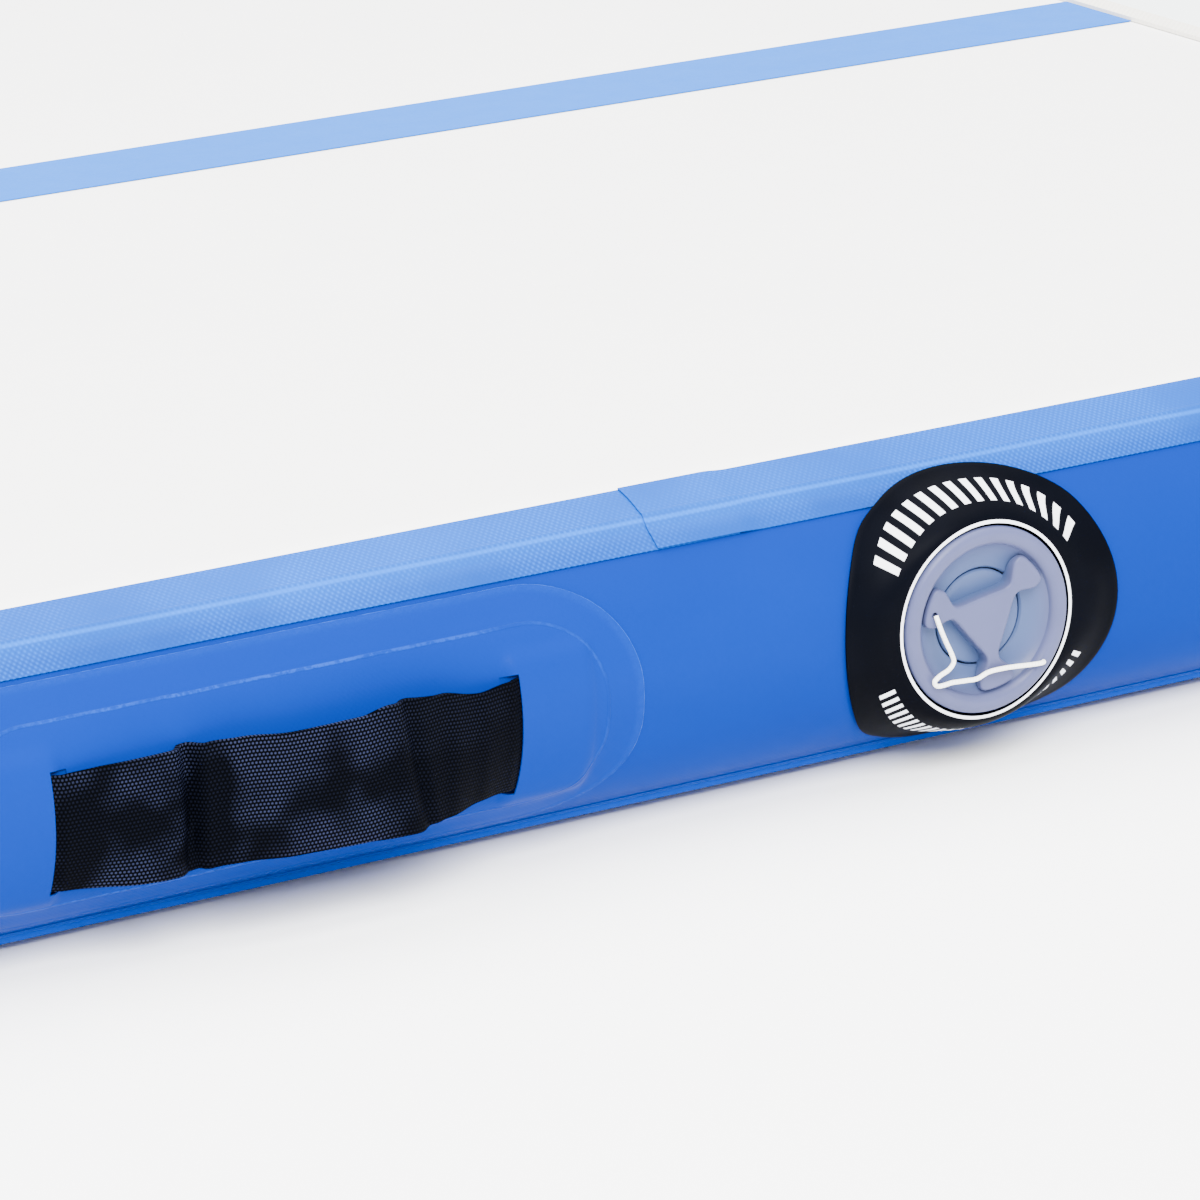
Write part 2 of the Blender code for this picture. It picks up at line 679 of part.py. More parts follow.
def build_handle(name, centre_x, side, finishes):
    backing_half = HANDLE_PATCH_HALF - HANDLE_BACKING_INSET
    low_deg, high_deg = HANDLE_PATCH_DEG
    degrees = rows_between(low_deg - PATCH_ROWS_SPARE_DEG, high_deg + PATCH_ROWS_SPARE_DEG)
    outside = sorted((side * (MAT_WIDTH / 2 + CUTTER_REACH), side * (MAT_WIDTH / 2 - FACE_R)))

    def placed(offsets):
        stations = front_stations([centre_x + x for x in offsets], side)
        return stations if side < 0 else stations[::-1]

    def trimmed(piece, label, inset):
        outline = rounded_outline(HANDLE_PATCH_HALF, *HANDLE_PATCH_DEG, HANDLE_PATCH_CORNER, inset)
        outline = [(centre_x + x, z) for x, z in outline]
        return boolean(piece, prism(f"{name}_{label}_cutter", outline, *outside), "INTERSECT")

    reach = backing_half + SHEET_SPARE
    backing = section_shell(
        f"{name}_backing", placed((-reach, reach)), degrees, BACKING_LIFT, PATCH_SHEET, finishes["wall"]
    )
    trimmed(backing, "backing", HANDLE_BACKING_INSET)

    rise = [HANDLE_PATCH_HALF - r for r in PATCH_RISE + PATCH_BENDS]
    half_xs = sorted([SLIT_HALF[0] - SLIT_CLEAR, HANDLE_PATCH_HALF + SHEET_SPARE, *rise])
    patch = section_shell(
        f"{name}_patch", placed([-x for x in half_xs[::-1]] + half_xs), degrees,
        lambda s, a: patch_lift(s[0] - centre_x, a), PATCH_SHEET, finishes["patch"]
    )
    trimmed(patch, "patch", 0.0)
    for sign in (-1, 1):
        near, far = sorted(centre_x + sign * s for s in SLIT_HALF)
        half = STRAP_WIDTH / 2 + SLIT_SPARE
        low, high = HANDLE_CENTRE_Z - half, HANDLE_CENTRE_Z + half
        outline = ((near, low), (far, low), (far, high), (near, high))
        boolean(patch, prism(f"{name}_slit_{near:.3f}_cutter", outline, *outside), "DIFFERENCE")

    tail = STRAP_OPEN_HALF + STRAP_TAIL
    rise_end, rise_start = SLIT_HALF[0] + GAP + STRAP_SHEET, SLIT_HALF[1] - STRAP_SHEET
    half_xs = [*STRAP_BENDS, rise_end]
    half_xs += [rise_end + (rise_start - rise_end) * s for s in STRAP_CLIMB] + [tail]
    xs = [-x for x in half_xs[:0:-1]] + half_xs
    lowest = HANDLE_CENTRE_Z - STRAP_WIDTH / 2
    heights = [lowest + STRAP_WIDTH * i / STRAP_ROWS for i in range(STRAP_ROWS + 1)]
    grids = []
    for thickness in (STRAP_SHEET, 0.0):
        grid = []
        for x in xs:
            flat = smooth((rise_end - abs(x)) / STRAP_FLATTEN)
            lift = strap_lift(x) + thickness
            grid.append([strap_point(centre_x + x, h, lift, flat, side) for h in heights])
        grids.append(grid if side < 0 else grid[::-1])
    shell(f"{name}_strap", grids[0], grids[1], finishes["webbing"])


# ---- Inflation valve ----

def valve_point(right, up, depth):
    """A point by its offsets from the valve's axis and its depth behind the rubber patch's face."""
    return (VALVE_X + right, PATCH_Y + depth, VALVE_Z + up)


def bowl_depth(radius):
    """Depth of the dish between the rim and the bore."""
    share = (radius - BORE_RADIUS) / (BOWL_RADIUS - BORE_RADIUS)
    return BORE_TOP + (BOWL_LIP_DEPTH - BORE_TOP) * share


def build_valve_patch(finish):
    """The round rubber patch: it lies on the wall, and over the lower edge of the seam tape."""
    reach = TAPE_STEP_DEG[0]
    start, end = (TOP_TAPE_DEG[0] + offset for offset in PATCH_OVER_TAPE_DEG)

    def lift(station, angle):
        return GAP + (SEAM_TAPE + GAP) * smooth((abs(angle) - start) / (end - start))

    degrees = rows_between(-reach, reach, extra=(TOP_TAPE_DEG[0],))
    half = VALVE_PATCH_RADIUS + SHEET_SPARE
    stations = front_stations(seat_xs(VALVE_X - half, VALVE_X + half))
    patch = section_shell("valve_patch", stations, degrees, lift, VALVE_PATCH_SHEET, finish)
    outline = []
    for i in range(PATCH_SIDES):
        angle = 2 * math.pi * i / PATCH_SIDES
        up = WALL_R * math.sin(VALVE_PATCH_RADIUS * math.sin(angle) / WALL_R)
        outline.append((VALVE_X + VALVE_PATCH_RADIUS * math.cos(angle), VALVE_Z + up))
    front = -MAT_WIDTH / 2 - CUTTER_REACH
    cutter = prism("valve_patch_cutter", outline, front, front + CUTTER_REACH + FACE_R)
    boolean(patch, cutter, "INTERSECT")
    boolean(patch, hole_cutter("valve_patch_hole_cutter", SKIRT_RADIUS + HOLE_SPARE), "DIFFERENCE")


def arc(centre_radius, centre_depth, across, along, start_deg, end_deg):
    """A quarter of an ellipse for a profile, as (radius, depth): 0 degrees outwards, 90 to the front."""
    made = []
    for i in range(RIM_STEPS + 1):
        angle = math.radians(start_deg + (end_deg - start_deg) * i / RIM_STEPS)
        made.append((centre_radius + across * math.cos(angle), centre_depth - along * math.sin(angle)))
    return made


def build_valve_body(finishes):
    edge, top = FLANGE_RADIUS, -FLANGE_PROUD
    rim = [(SKIRT_RADIUS, FLANGE_BACK), (edge - FLANGE_BEVEL, FLANGE_BACK)]
    rim.append((edge, FLANGE_BACK - FLANGE_BEVEL))
    rim += arc(edge - RIM_ROUND, top + RIM_ROUND, RIM_ROUND, RIM_ROUND, 0.0, 90.0)
    lip = bowl_depth(BOWL_RADIUS)
    rim += arc(BOWL_RADIUS + RIM_FALL, lip, RIM_FALL, lip - top, 90.0, 180.0)
    middle = (BOWL_RADIUS + BORE_RADIUS) / 2
    bowl = [(middle, bowl_depth(middle) + BOWL_SAG), (BORE_RADIUS, BORE_TOP)]
    lip_depth = TUBE_DEPTH - SEAT_LIP
    bore = [
        (BORE_RADIUS, BORE_DEPTH), (THROAT_RADIUS, BORE_DEPTH), (THROAT_RADIUS, lip_depth),
        (SEAT_LIP_RADIUS, lip_depth), (SEAT_LIP_RADIUS, TUBE_DEPTH),
    ]
    under = SKIRT_RADIUS - SKIRT_WALL
    skirt_wall, tube_wall = BOWL_WALL
    outside = [
        (TUBE_RADIUS, TUBE_DEPTH), (TUBE_RADIUS, BORE_TOP + tube_wall),
        (under, bowl_depth(under) + skirt_wall), (under, SKIRT_DEPTH), (SKIRT_RADIUS, SKIRT_DEPTH),
    ]
    turned("valve_housing", rim + bowl + bore + outside, finishes["valve"])
    inner, outer = GASKET_RADII
    turned(
        "flange_gasket",
        ((inner, GASKET_FRONT), (outer, GASKET_FRONT), (outer, -GAP), (inner, -GAP)), finishes["rubber"]
    )
    bore_r = SKIRT_RADIUS + RUNNING
    front, shoulder, back = NUT_DEPTHS
    turned(
        "valve_nut",
        (
            (bore_r, front), (NUT_RADIUS, front), (NUT_RADIUS, shoulder),
            (NUT_COLLAR_RADIUS, shoulder), (NUT_COLLAR_RADIUS, back), (bore_r, back),
        ), finishes["valve"]
    )


def bar(name, angle_deg, start, end, half, depths, finish=None):
    """A straight bar in the valve's plane, from start to end along the given direction."""
    c, s = math.cos(math.radians(angle_deg)), math.sin(math.radians(angle_deg))
    corners = ((start, -half), (end, -half), (end, half), (start, half))
    outline = [(VALVE_X + c * u - s * v, VALVE_Z + s * u + c * v) for u, v in corners]
    return prism(name, outline, PATCH_Y + depths[0], PATCH_Y + depths[1], finish)


def build_guide(finish):
    """The spider that guides the poppet's stem and carries the spring: a ring, three ribs and a hub."""
    outer = THROAT_RADIUS - GAP
    inner = outer - GUIDE_RING_WALL
    low, high = GUIDE_DEPTHS
    hub = GUIDE_HUB_RADIUS
    ring = (low + GUIDE_STEP, high - GUIDE_STEP)
    rib = (low + 2 * GUIDE_STEP, high - 2 * GUIDE_STEP)
    profile = ((inner, ring[0]), (outer, ring[0]), (outer, ring[1]), (inner, ring[1]))
    guide = turned("stem_guide", profile, finish)
    for i, angle in enumerate(KNOB_ARM_DEG):
        ends = (STEM_RADIUS + RUNNING, inner + GUIDE_RING_WALL / 2)
        arm = bar(f"guide_rib_{i}_cutter", angle, *ends, GUIDE_RIB / 2, rib)
        boolean(guide, arm, "UNION")
    hub_profile = ((0, low), (hub, low), (hub, high), (0, high))
    boolean(guide, turned_solid("guide_hub_cutter", hub_profile), "UNION")
    hole = STEM_RADIUS + RUNNING
    front, back = HOLE_CUT_DEPTHS
    hole_profile = ((0, front), (hole, front), (hole, back), (0, back))
    boolean(guide, turned_solid("guide_hole_cutter", hole_profile, steps=STEM_SIDES), "DIFFERENCE")


def build_poppet(finishes):
    button, disc = BUTTON_DEPTHS, POPPET_DEPTHS
    profile = (
        (0, button[0]), (BUTTON_RADIUS - EDGE_BEVEL, button[0]), (BUTTON_RADIUS, button[0] + EDGE_BEVEL),
        (BUTTON_RADIUS, button[1]), (STEM_RADIUS, button[1]), (STEM_RADIUS, disc[0]),
        (POPPET_RADIUS, disc[0]), (POPPET_RADIUS, disc[1] - EDGE_BEVEL),
        (POPPET_RADIUS - EDGE_BEVEL, disc[1]), (0, disc[1]),
    )
    poppet = turned_solid("valve_poppet", profile, finishes["valve"])
    front, back = TUBE_DEPTH + GAP, disc[0] - GAP
    inner, outer = SEAL_RADII
    ring = ((inner, front), (outer, front), (outer, back), (inner, back))
    seal = turned("poppet_seal", ring, finishes["rubber"])
    for piece in (poppet, seal):
        set_origin(piece, valve_point(0.0, 0.0, TUBE_DEPTH))
    build_spring(button[1] + GAP, GUIDE_DEPTHS[0] - GAP, finishes["steel"])


def build_spring(front, back, finish):
    """A wire coil round the stem, from the button to the guide."""
    curve = bpy.data.curves.new("valve_spring", "CURVE")
    curve.dimensions = "3D"
    curve.bevel_depth = SPRING_WIRE / 2
    curve.bevel_resolution = 1
    curve.use_fill_caps = True
    curve.materials.append(finish)
    steps = SPRING_SIDES * SPRING_TURNS
    spline = curve.splines.new("POLY")
    spline.points.add(steps)
    for i, point in enumerate(spline.points):
        angle = 2 * math.pi * i / SPRING_SIDES
        depth = front + SPRING_WIRE / 2 + (back - front - SPRING_WIRE) * i / steps
        place = valve_point(SPRING_RADIUS * math.cos(angle), SPRING_RADIUS * math.sin(angle), depth)
        point.co = (*place, 1.0)
    bpy.context.scene.collection.objects.link(bpy.data.objects.new("valve_spring", curve))


def arm_half_width(radius):
    """Half width of a knob arm: it leaves the hub wide, narrows, and flares into a rounded end."""
    flare_start, flare_end = KNOB_FLARE
    root_start, root_end = KNOB_ROOT
    flare = smooth((radius - flare_start) / (flare_end - flare_start))
    root = 1 - smooth((radius - root_start) / (root_end - root_start))
    return KNOB_NECK_HALF + (KNOB_TIP_HALF - KNOB_NECK_HALF) * flare + KNOB_ROOT_HALF * root


def knob_outline():
    """The three-armed outline, anticlockwise seen from outside, as (right, up)."""
    points = []
    outer = KNOB_TIP_RADIUS + KNOB_TIP_BEND
    half = arm_half_width(KNOB_TIP_RADIUS) - KNOB_TIP_BEND
    end = [(math.sqrt(outer ** 2 - v ** 2), v) for v in (-half, -half / 2, 0.0, half / 2, half)]
    sides = [(r, -arm_half_width(r)) for r in KNOB_STATIONS]
    for degrees in sorted(KNOB_ARM_DEG):
        c, s = math.cos(math.radians(degrees)), math.sin(math.radians(degrees))
        profile = sides + end + [(r, -v) for r, v in sides[::-1]]
        points += [(c * u - s * v, s * u + c * v) for u, v in profile]
    return points


def build_cap(finishes):
    """The cap: a plug with an O-ring, and a knob whose arms reach out over the dish."""
    disc = BORE_RADIUS - RUNNING
    neck = CAP_NECK_RADIUS
    plug = [
        (0, CAP_DISC_TOP), (disc - EDGE_BEVEL, CAP_DISC_TOP), (disc, CAP_DISC_TOP + EDGE_BEVEL),
        (disc, CAP_DISC_BOTTOM), (neck, CAP_DISC_BOTTOM), (neck, CAP_PLUG_TOP),
        (disc - CAP_PLUG_INSET, CAP_PLUG_TOP), (disc - CAP_PLUG_INSET, CAP_BOTTOM), (0, CAP_BOTTOM),
    ]
    cap = turned_solid("valve_cap", plug, finishes["valve"])
    outline = [(VALVE_X + u, VALVE_Z + v) for u, v in knob_outline()]
    disc_middle = (CAP_DISC_TOP + CAP_DISC_BOTTOM) / 2
    knob = prism("knob_cutter", outline, PATCH_Y + KNOB_TOP, PATCH_Y + disc_middle)
    front, back = HOLE_CUT_DEPTHS
    inner = BORE_RADIUS - KNOB_BORE_INSET
    space = (
        (0, back), (inner, back), (inner, BORE_TOP - KNOB_UNDER),
        (FLANGE_RADIUS, bowl_depth(FLANGE_RADIUS) - KNOB_BOWL_GAP), (FLANGE_RADIUS, front), (0, front),
    )
    allowed = turned_solid("knob_space_cutter", space)
    boolean(knob, allowed, "INTERSECT")
    boolean(cap, knob, "UNION")
    angle = math.radians(KNOB_ARM_DEG[0])
    hole_x, hole_z = TETHER_ROUTE[0][:2]
    hole = []
    for i in range(TETHER_HOLE_SIDES):
        turn = 2 * math.pi * i / TETHER_HOLE_SIDES + angle
        x = VALVE_X + hole_x + TETHER_HOLE_RADIUS * math.cos(turn)
        hole.append((x, VALVE_Z + hole_z + TETHER_HOLE_RADIUS * math.sin(turn)))
    boolean(cap, prism("tether_hole_cutter", hole, PATCH_Y + front, PATCH_Y + CAP_DISC_TOP), "DIFFERENCE")
    depth = (CAP_DISC_BOTTOM + CAP_PLUG_TOP) / 2
    middle = CAP_NECK_RADIUS + GAP + O_RING_SECTION
    section = []
    for i in range(O_RING_SIDES):
        turn = 2 * math.pi * (i + 0.5) / O_RING_SIDES
        across, along = O_RING_SECTION * math.cos(turn), O_RING_SECTION * math.sin(turn)
        section.append((middle + across, depth + along))
    o_ring = turned("cap_o_ring", section, finishes["rubber"], sharp=80.0)
    for piece in (cap, o_ring):
        set_origin(piece, valve_point(0.0, 0.0, 0.0))


def catmull_rom(before, start, end, after, t):
    slope = end - before
    bend = 2 * before - 5 * start + 4 * end - after
    twist = 3 * start - before - 3 * end + after
    return start + (slope * t + bend * t ** 2 + twist * t ** 3) / 2


def smooth_route(points, count):
    """Evenly numbered points on a smooth curve through the given ones."""
    made = []
    spans = len(points) - 1
    for i in range(count + 1):
        place = spans * i / count
        k = min(int(place), spans - 1)
        t = place - k
        near = [points[min(max(k + o, 0), spans)] for o in (-1, 0, 1, 2)]
        made.append(tuple(catmull_rom(*values, t) for values in zip(*near)))
    return made


def build_tether(finish):
    """The cord that keeps the cap with the mat, tied through an arm of the knob and into the rim."""
    curve = bpy.data.curves.new("cap_tether", "CURVE")
    curve.dimensions = "3D"
    curve.bevel_depth = TETHER_DIAMETER / 2
    curve.bevel_resolution = 2
    curve.use_fill_caps = True
    curve.materials.append(finish)
    route = smooth_route(TETHER_ROUTE, TETHER_POINTS)
    spline = curve.splines.new("POLY")
    spline.points.add(len(route) - 1)
    for point, place in zip(spline.points, route):
        point.co = (*valve_point(*place), 1.0)
    bpy.context.scene.collection.objects.link(bpy.data.objects.new("cap_tether", curve))


def main():
    clear_scene()
    bpy.context.scene.unit_settings.scale_length = 1.0
    finishes = {
        "deck": material("deck_white", (0.90, 0.90, 0.89), 0.42),
        "base": material("base_grey", (0.40, 0.42, 0.45), 0.60),
        "cloth": material("drop_stitch_cloth", (0.78, 0.78, 0.75), 0.85),
        "yarn": material("drop_stitch_yarn", (0.85, 0.85, 0.82), 0.80),
        "wall": material("wall_blue", (0.004, 0.21, 0.78), 0.30),
        "patch": material("patch_blue", (0.004, 0.21, 0.80), 0.24),
        "tape": material("tape_blue", (0.08, 0.33, 0.82), 0.48),
        "line": material("line_blue", (0.30, 0.53, 0.85), 0.45),
        "trim": material("trim_cream", (0.84, 0.81, 0.75), 0.60),
        "panel": material("panel_pale", (0.80, 0.84, 0.83), 0.50),
        "webbing": material("webbing_black", (0.012, 0.016, 0.026), 0.55),
        "rubber": material("rubber_black", (0.012, 0.013, 0.018), 0.50),
        "valve": material("valve_grey", (0.36, 0.40, 0.55), 0.35),
        "steel": material("spring_steel", (0.60, 0.60, 0.62), 0.30, metallic=1.0),
        "cord": material("tether_white", (0.85, 0.85, 0.83), 0.70),
    }
    build_faces(finishes)
    build_stitching(finishes["yarn"])
    build_walls(finishes["wall"])
    build_joint_tapes(finishes["wall"])
    seam_tape("top_seam_tape", TOP_TAPE_DEG, finishes["tape"], overlapped=True)
    seam_tape("bottom_seam_tape", BOTTOM_TAPE_DEG, finishes["wall"], overlapped=False)
    build_deck_markings(finishes)
    for side_name, side in (("front", -1), ("back", 1)):
        for end_name, sign in (("left", -1), ("right", 1)):
            build_handle(f"handle_{side_name}_{end_name}", sign * HANDLE_X, side, finishes)
    build_valve_patch(finishes["rubber"])
    build_valve_body(finishes)
    build_guide(finishes["valve"])
    build_poppet(finishes)
    build_cap(finishes)
    build_tether(finishes["cord"])


main()
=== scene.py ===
"""Looks of an inflated air track mat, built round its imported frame.

Metres, +Z up. +X runs along the mat, and the valve is in the long side that faces -Y.
"""

from __future__ import annotations

import json
import logging
import math
from dataclasses import dataclass, field
from enum import Enum
from typing import Any, Callable, Iterable, Sequence

import bpy
from mathutils import Matrix, Vector, noise

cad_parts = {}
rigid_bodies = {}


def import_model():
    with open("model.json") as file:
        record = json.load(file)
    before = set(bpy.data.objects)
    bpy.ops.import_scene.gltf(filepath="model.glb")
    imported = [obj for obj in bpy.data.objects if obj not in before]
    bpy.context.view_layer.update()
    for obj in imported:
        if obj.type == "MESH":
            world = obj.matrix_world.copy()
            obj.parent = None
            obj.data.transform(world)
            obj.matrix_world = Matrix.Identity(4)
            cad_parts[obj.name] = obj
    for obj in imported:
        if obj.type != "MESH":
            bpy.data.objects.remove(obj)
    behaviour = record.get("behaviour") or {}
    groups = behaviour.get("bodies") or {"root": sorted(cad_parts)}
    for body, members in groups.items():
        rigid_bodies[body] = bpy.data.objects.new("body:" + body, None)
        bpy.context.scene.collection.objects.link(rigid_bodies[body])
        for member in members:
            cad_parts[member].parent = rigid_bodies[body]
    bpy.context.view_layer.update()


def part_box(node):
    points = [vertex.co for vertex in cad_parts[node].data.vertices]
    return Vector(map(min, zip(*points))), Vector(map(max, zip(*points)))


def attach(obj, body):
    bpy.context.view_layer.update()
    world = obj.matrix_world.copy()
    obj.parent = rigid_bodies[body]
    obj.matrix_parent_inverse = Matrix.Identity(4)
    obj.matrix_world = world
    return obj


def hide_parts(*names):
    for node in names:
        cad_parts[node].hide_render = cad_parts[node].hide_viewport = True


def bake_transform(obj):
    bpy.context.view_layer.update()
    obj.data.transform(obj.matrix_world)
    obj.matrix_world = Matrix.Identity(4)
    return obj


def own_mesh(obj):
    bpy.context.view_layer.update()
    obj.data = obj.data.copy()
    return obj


LOG = logging.getLogger("air_track")
MM = 0.001

Colour = tuple[float, float, float]
Point = tuple[float, float, float]
Outline = tuple[tuple[float, float], ...]
Grid = list[list[Point]]
Pairs = list[list[tuple[float, float]]]
Term = Any


# ---- Arithmetic on node sockets ----


class Sock:
    """A node socket that takes part in arithmetic: every step adds one Math node."""

    def __init__(self, board: Board, socket: bpy.types.NodeSocket) -> None:
        """Wraps an output socket.

        Args:
            board: The board that the socket's node is on.
            socket: The output socket.
        """
        self.board = board
        self.socket = socket

    def step(self, operation: str, *terms: Term) -> Sock:
        """Adds a Math node.

        Args:
            operation: The Math node's operation.
            terms: Its numbers or sockets, in order.

        Returns:
            The node's result.
        """
        return self.board.add("ShaderNodeMath", {"operation": operation}, dict(enumerate(terms)))

    def __add__(self, other: Term) -> Sock:
        """Sum."""
        return self.step("ADD", self, other)

    __radd__ = __add__

    def __sub__(self, other: Term) -> Sock:
        """Difference."""
        return self.step("SUBTRACT", self, other)

    def __rsub__(self, other: Term) -> Sock:
        """Difference from a number."""
        return self.step("SUBTRACT", other, self)

    def __mul__(self, other: Term) -> Sock:
        """Product."""
        return self.step("MULTIPLY", self, other)

    __rmul__ = __mul__

    def __truediv__(self, other: Term) -> Sock:
        """Quotient."""
        return self.step("DIVIDE", self, other)

    def __pow__(self, other: Term) -> Sock:
        """Power."""
        return self.step("POWER", self, other)

    def __neg__(self) -> Sock:
        """Negative."""
        return self.step("MULTIPLY", self, -1.0)

    def __abs__(self) -> Sock:
        """Size without sign."""
        return self.step("ABSOLUTE", self)

    def sine(self) -> Sock:
        """Sine of this angle in radians."""
        return self.step("SINE", self)

    def fraction(self) -> Sock:
        """What is left over whole numbers."""
        return self.step("FRACT", self)

    def whole(self) -> Sock:
        """The whole number below."""
        return self.step("FLOOR", self)

    def rise(self, low: float, high: float) -> Sock:
        """A soft step.

        Args:
            low: Where the step leaves 0.
            high: Where it reaches 1.

        Returns:
            0 below low, 1 above high, smooth between.
        """
        settings = {"interpolation_type": "SMOOTHSTEP"}
        return self.board.add("ShaderNodeMapRange", settings, {0: self, 1: low, 2: high})

    def within(self, half: float, soft: float) -> Sock:
        """1 where this is nearer to 0 than half, with an edge soft wide."""
        return 1 - abs(self).rise(half - soft / 2, half + soft / 2)


class Board:
    """A node tree being built, of a material or of a modifier."""

    def __init__(self, tree: bpy.types.NodeTree) -> None:
        """Takes a node tree. Args: tree: the tree that nodes are added to."""
        self.tree = tree

    def add(
        self,
        kind: str,
        settings: dict[str, Any] | None = None,
        inputs: dict[Any, Term] | None = None,
        output: int | str = 0,
    ) -> Sock:
        """Adds any node.

        Args:
            kind: The node's type name.
            settings: Its properties, set first.
            inputs: Numbers, colours or sockets by socket name or number.
            output: Which of its outputs to return.

        Returns:
            The chosen output.
        """
        node = self.tree.nodes.new(kind)
        for key, value in (settings or {}).items():
            setattr(node, key, value)
        for key, value in (inputs or {}).items():
            if isinstance(value, Sock):
                self.tree.links.new(value.socket, node.inputs[key])
            elif value is not None:
                node.inputs[key].default_value = value
        return Sock(self, node.outputs[output] if len(node.outputs) else None)

    def place(self) -> Sock:
        """The mat's own coordinates, in metres."""
        return self.add("ShaderNodeTexCoord", output="Object")

    def parts(self, vector: Sock) -> tuple[Sock, Sock, Sock]:
        """The x, y and z of a vector."""
        whole = self.add("ShaderNodeSeparateXYZ", None, {0: vector})
        outputs = whole.socket.node.outputs
        return Sock(self, outputs[0]), Sock(self, outputs[1]), Sock(self, outputs[2])

    def cloth(self, name: str = "cloth") -> tuple[Sock, Sock]:
        """A sheet's own coordinates in metres, along it and across it."""
        along, across, _ = self.parts(self.add("ShaderNodeUVMap", {"uv_map": name}))
        return along, across

    def cloud(self, vector: Sock, scale: float, detail: float = 2.0) -> Sock:
        """Noise from 0 to 1.

        Args:
            vector: Where to read it.
            scale: Blobs for each metre.
            detail: How many finer layers it has.

        Returns:
            The noise.
        """
        return self.add("ShaderNodeTexNoise", None, {"Vector": vector, "Scale": scale, "Detail": detail})

    def stretched(self, vector: Sock, scale: Point) -> Sock:
        """A vector with each of its parts scaled."""
        return self.add("ShaderNodeVectorMath", {"operation": "MULTIPLY"}, {0: vector, 1: scale})

    def mix(self, share: Term, first: Term, second: Term) -> Sock:
        """A colour between two.

        Args:
            share: 0 for the first colour, 1 for the second.
            first: A colour or a socket.
            second: A colour or a socket.

        Returns:
            The mixed colour.
        """
        colours = [(*c, 1.0) if isinstance(c, tuple) else c for c in (first, second)]
        inputs = {0: share, 6: colours[0], 7: colours[1]}
        return self.add("ShaderNodeMix", {"data_type": "RGBA"}, inputs, output=2)


# ---- Finishes ----


@dataclass
class Look:
    """What varies over a finish. What is None keeps the finish's own constant."""

    colour: Sock | None = None
    roughness: Sock | None = None
    relief: Sock | None = None  # in millimetres


@dataclass(frozen=True)
class Finish:
    """The finish of one kind of surface, and the record's slot that it belongs to."""

    name: str
    slot: str
    colour: Colour
    roughness: float
    metallic: float = 0.0
    specular: float = 0.5

    def look(self, board: Board) -> Look:
        """What varies over the surface.

        Args:
            board: The material's board.

        Returns:
            Its colour, roughness and relief.
        """
        cloud = board.cloud(board.place(), 40.0)
        grain = board.cloud(board.place(), 1500.0)
        return Look(self.tint(board, cloud, 0.9), self.roughness + (cloud - 0.5) * 0.1, grain * 0.02)

    def tint(self, board: Board, share: Sock, dark: float) -> Sock:
        """The finish's colour, darker where share is high.

        Args:
            board: The material's board.
            share: From 0 to 1.
            dark: What the darkest colour is multiplied by.

        Returns:
            The colour.
        """
        shade = tuple(c * dark for c in self.colour)
        return board.mix(share, self.colour, shade)

    def material(self) -> bpy.types.Material:
        """Builds the finish.

        Returns:
            The material.
        """
        made = bpy.data.materials.get(self.name)
        if made:
            return made
        made = bpy.data.materials.new(self.name)
        made.use_nodes = True
        made.node_tree.nodes.clear()
        board = Board(made.node_tree)
        look = self.look(board)
        bump = None
        if look.relief:
            bump = board.add("ShaderNodeBump", None, {"Distance": MM, "Height": look.relief})
        inputs = {
            "Base Color": look.colour or (*self.colour, 1.0),
            "Roughness": look.roughness or self.roughness,
            "Metallic": self.metallic,
            "Specular IOR Level": self.specular,
            "Normal": bump,
        }
        shader = board.add("ShaderNodeBsdfPrincipled", None, inputs)
        board.add("ShaderNodeOutputMaterial", None, {"Surface": shader})
        return made


@dataclass(frozen=True)
class DeckCoat(Finish):
    """Coated fabric, faintly pebbled, with soft dimples left by the yarns under it."""

    pebbles: float = 900.0
    dimples: float = 70.0
    swells: float = 9.0

    def look(self, board: Board) -> Look:
        """Pebble grain over dimples. Args: board: the material's board. Returns: the look."""
        place = board.place()
        cloud = board.cloud(place, self.swells, 3.0)
        dimple = board.cloud(place, self.dimples, 3.0)
        pebble = board.cloud(place, self.pebbles, 1.0)
        relief = pebble * 0.03 + dimple * 0.16 + cloud * 0.5
        rough = self.roughness + (dimple - 0.5) * 0.12 + (pebble - 0.5) * 0.1
        return Look(self.tint(board, (cloud * 0.6 + dimple * 0.4).rise(0.3, 0.75), 0.965), rough, relief)


@dataclass(frozen=True)
class WallCoat(Finish):
    """Glossy coated fabric: the weave just shows through, and broad soft swells break its shine. A painted sheen
    lightens the crests of the swells, and painted light lightens the foot of the wall, most of all its lowest band.
    """

    weave: float = 0.9 * MM
    foot: float = 30.0 * MM
    # colour of the painted sheen on the swells and of the painted light near the foot
    light: Colour = (0.0, 0.022, 0.195)
    # colour of the painted light in the lowest band, where the down-facing wall lies in shade
    painted_low_light: Colour = (0.0, 0.045, 0.33)

    def look(self, board: Board) -> Look:
        """Weave and swells, with painted sheen and painted light. Args: board: the material's board. Returns: the
        look.
        """
        place = board.place()
        swell = board.cloud(board.stretched(place, (7.0, 7.0, 16.0)), 1.0, 3.0)
        cloud = board.cloud(place, 60.0, 3.0)
        along, across = board.cloth()
        turn = math.pi / self.weave
        weave = (along * turn).sine() * (across * turn).sine()
        relief = swell * 1.6 + cloud * 0.07 + weave * 0.008 + board.cloud(place, 700.0) * 0.012
        _, _, height = board.parts(place)
        foot = 1 - height.rise(self.foot * 0.2, self.foot)
        # painted sheen on the swells' crests, and painted light towards the floor
        colour = board.mix(swell.rise(0.35, 0.8) * 0.3 + foot * 0.5, self.colour, self.light)
        # painted light in the lowest band of the wall
        colour = board.mix(1 - height.rise(self.foot * 0.1, self.foot * 0.32), colour, self.painted_low_light)
        return Look(colour, self.roughness + (cloud - 0.5) * 0.1, relief)


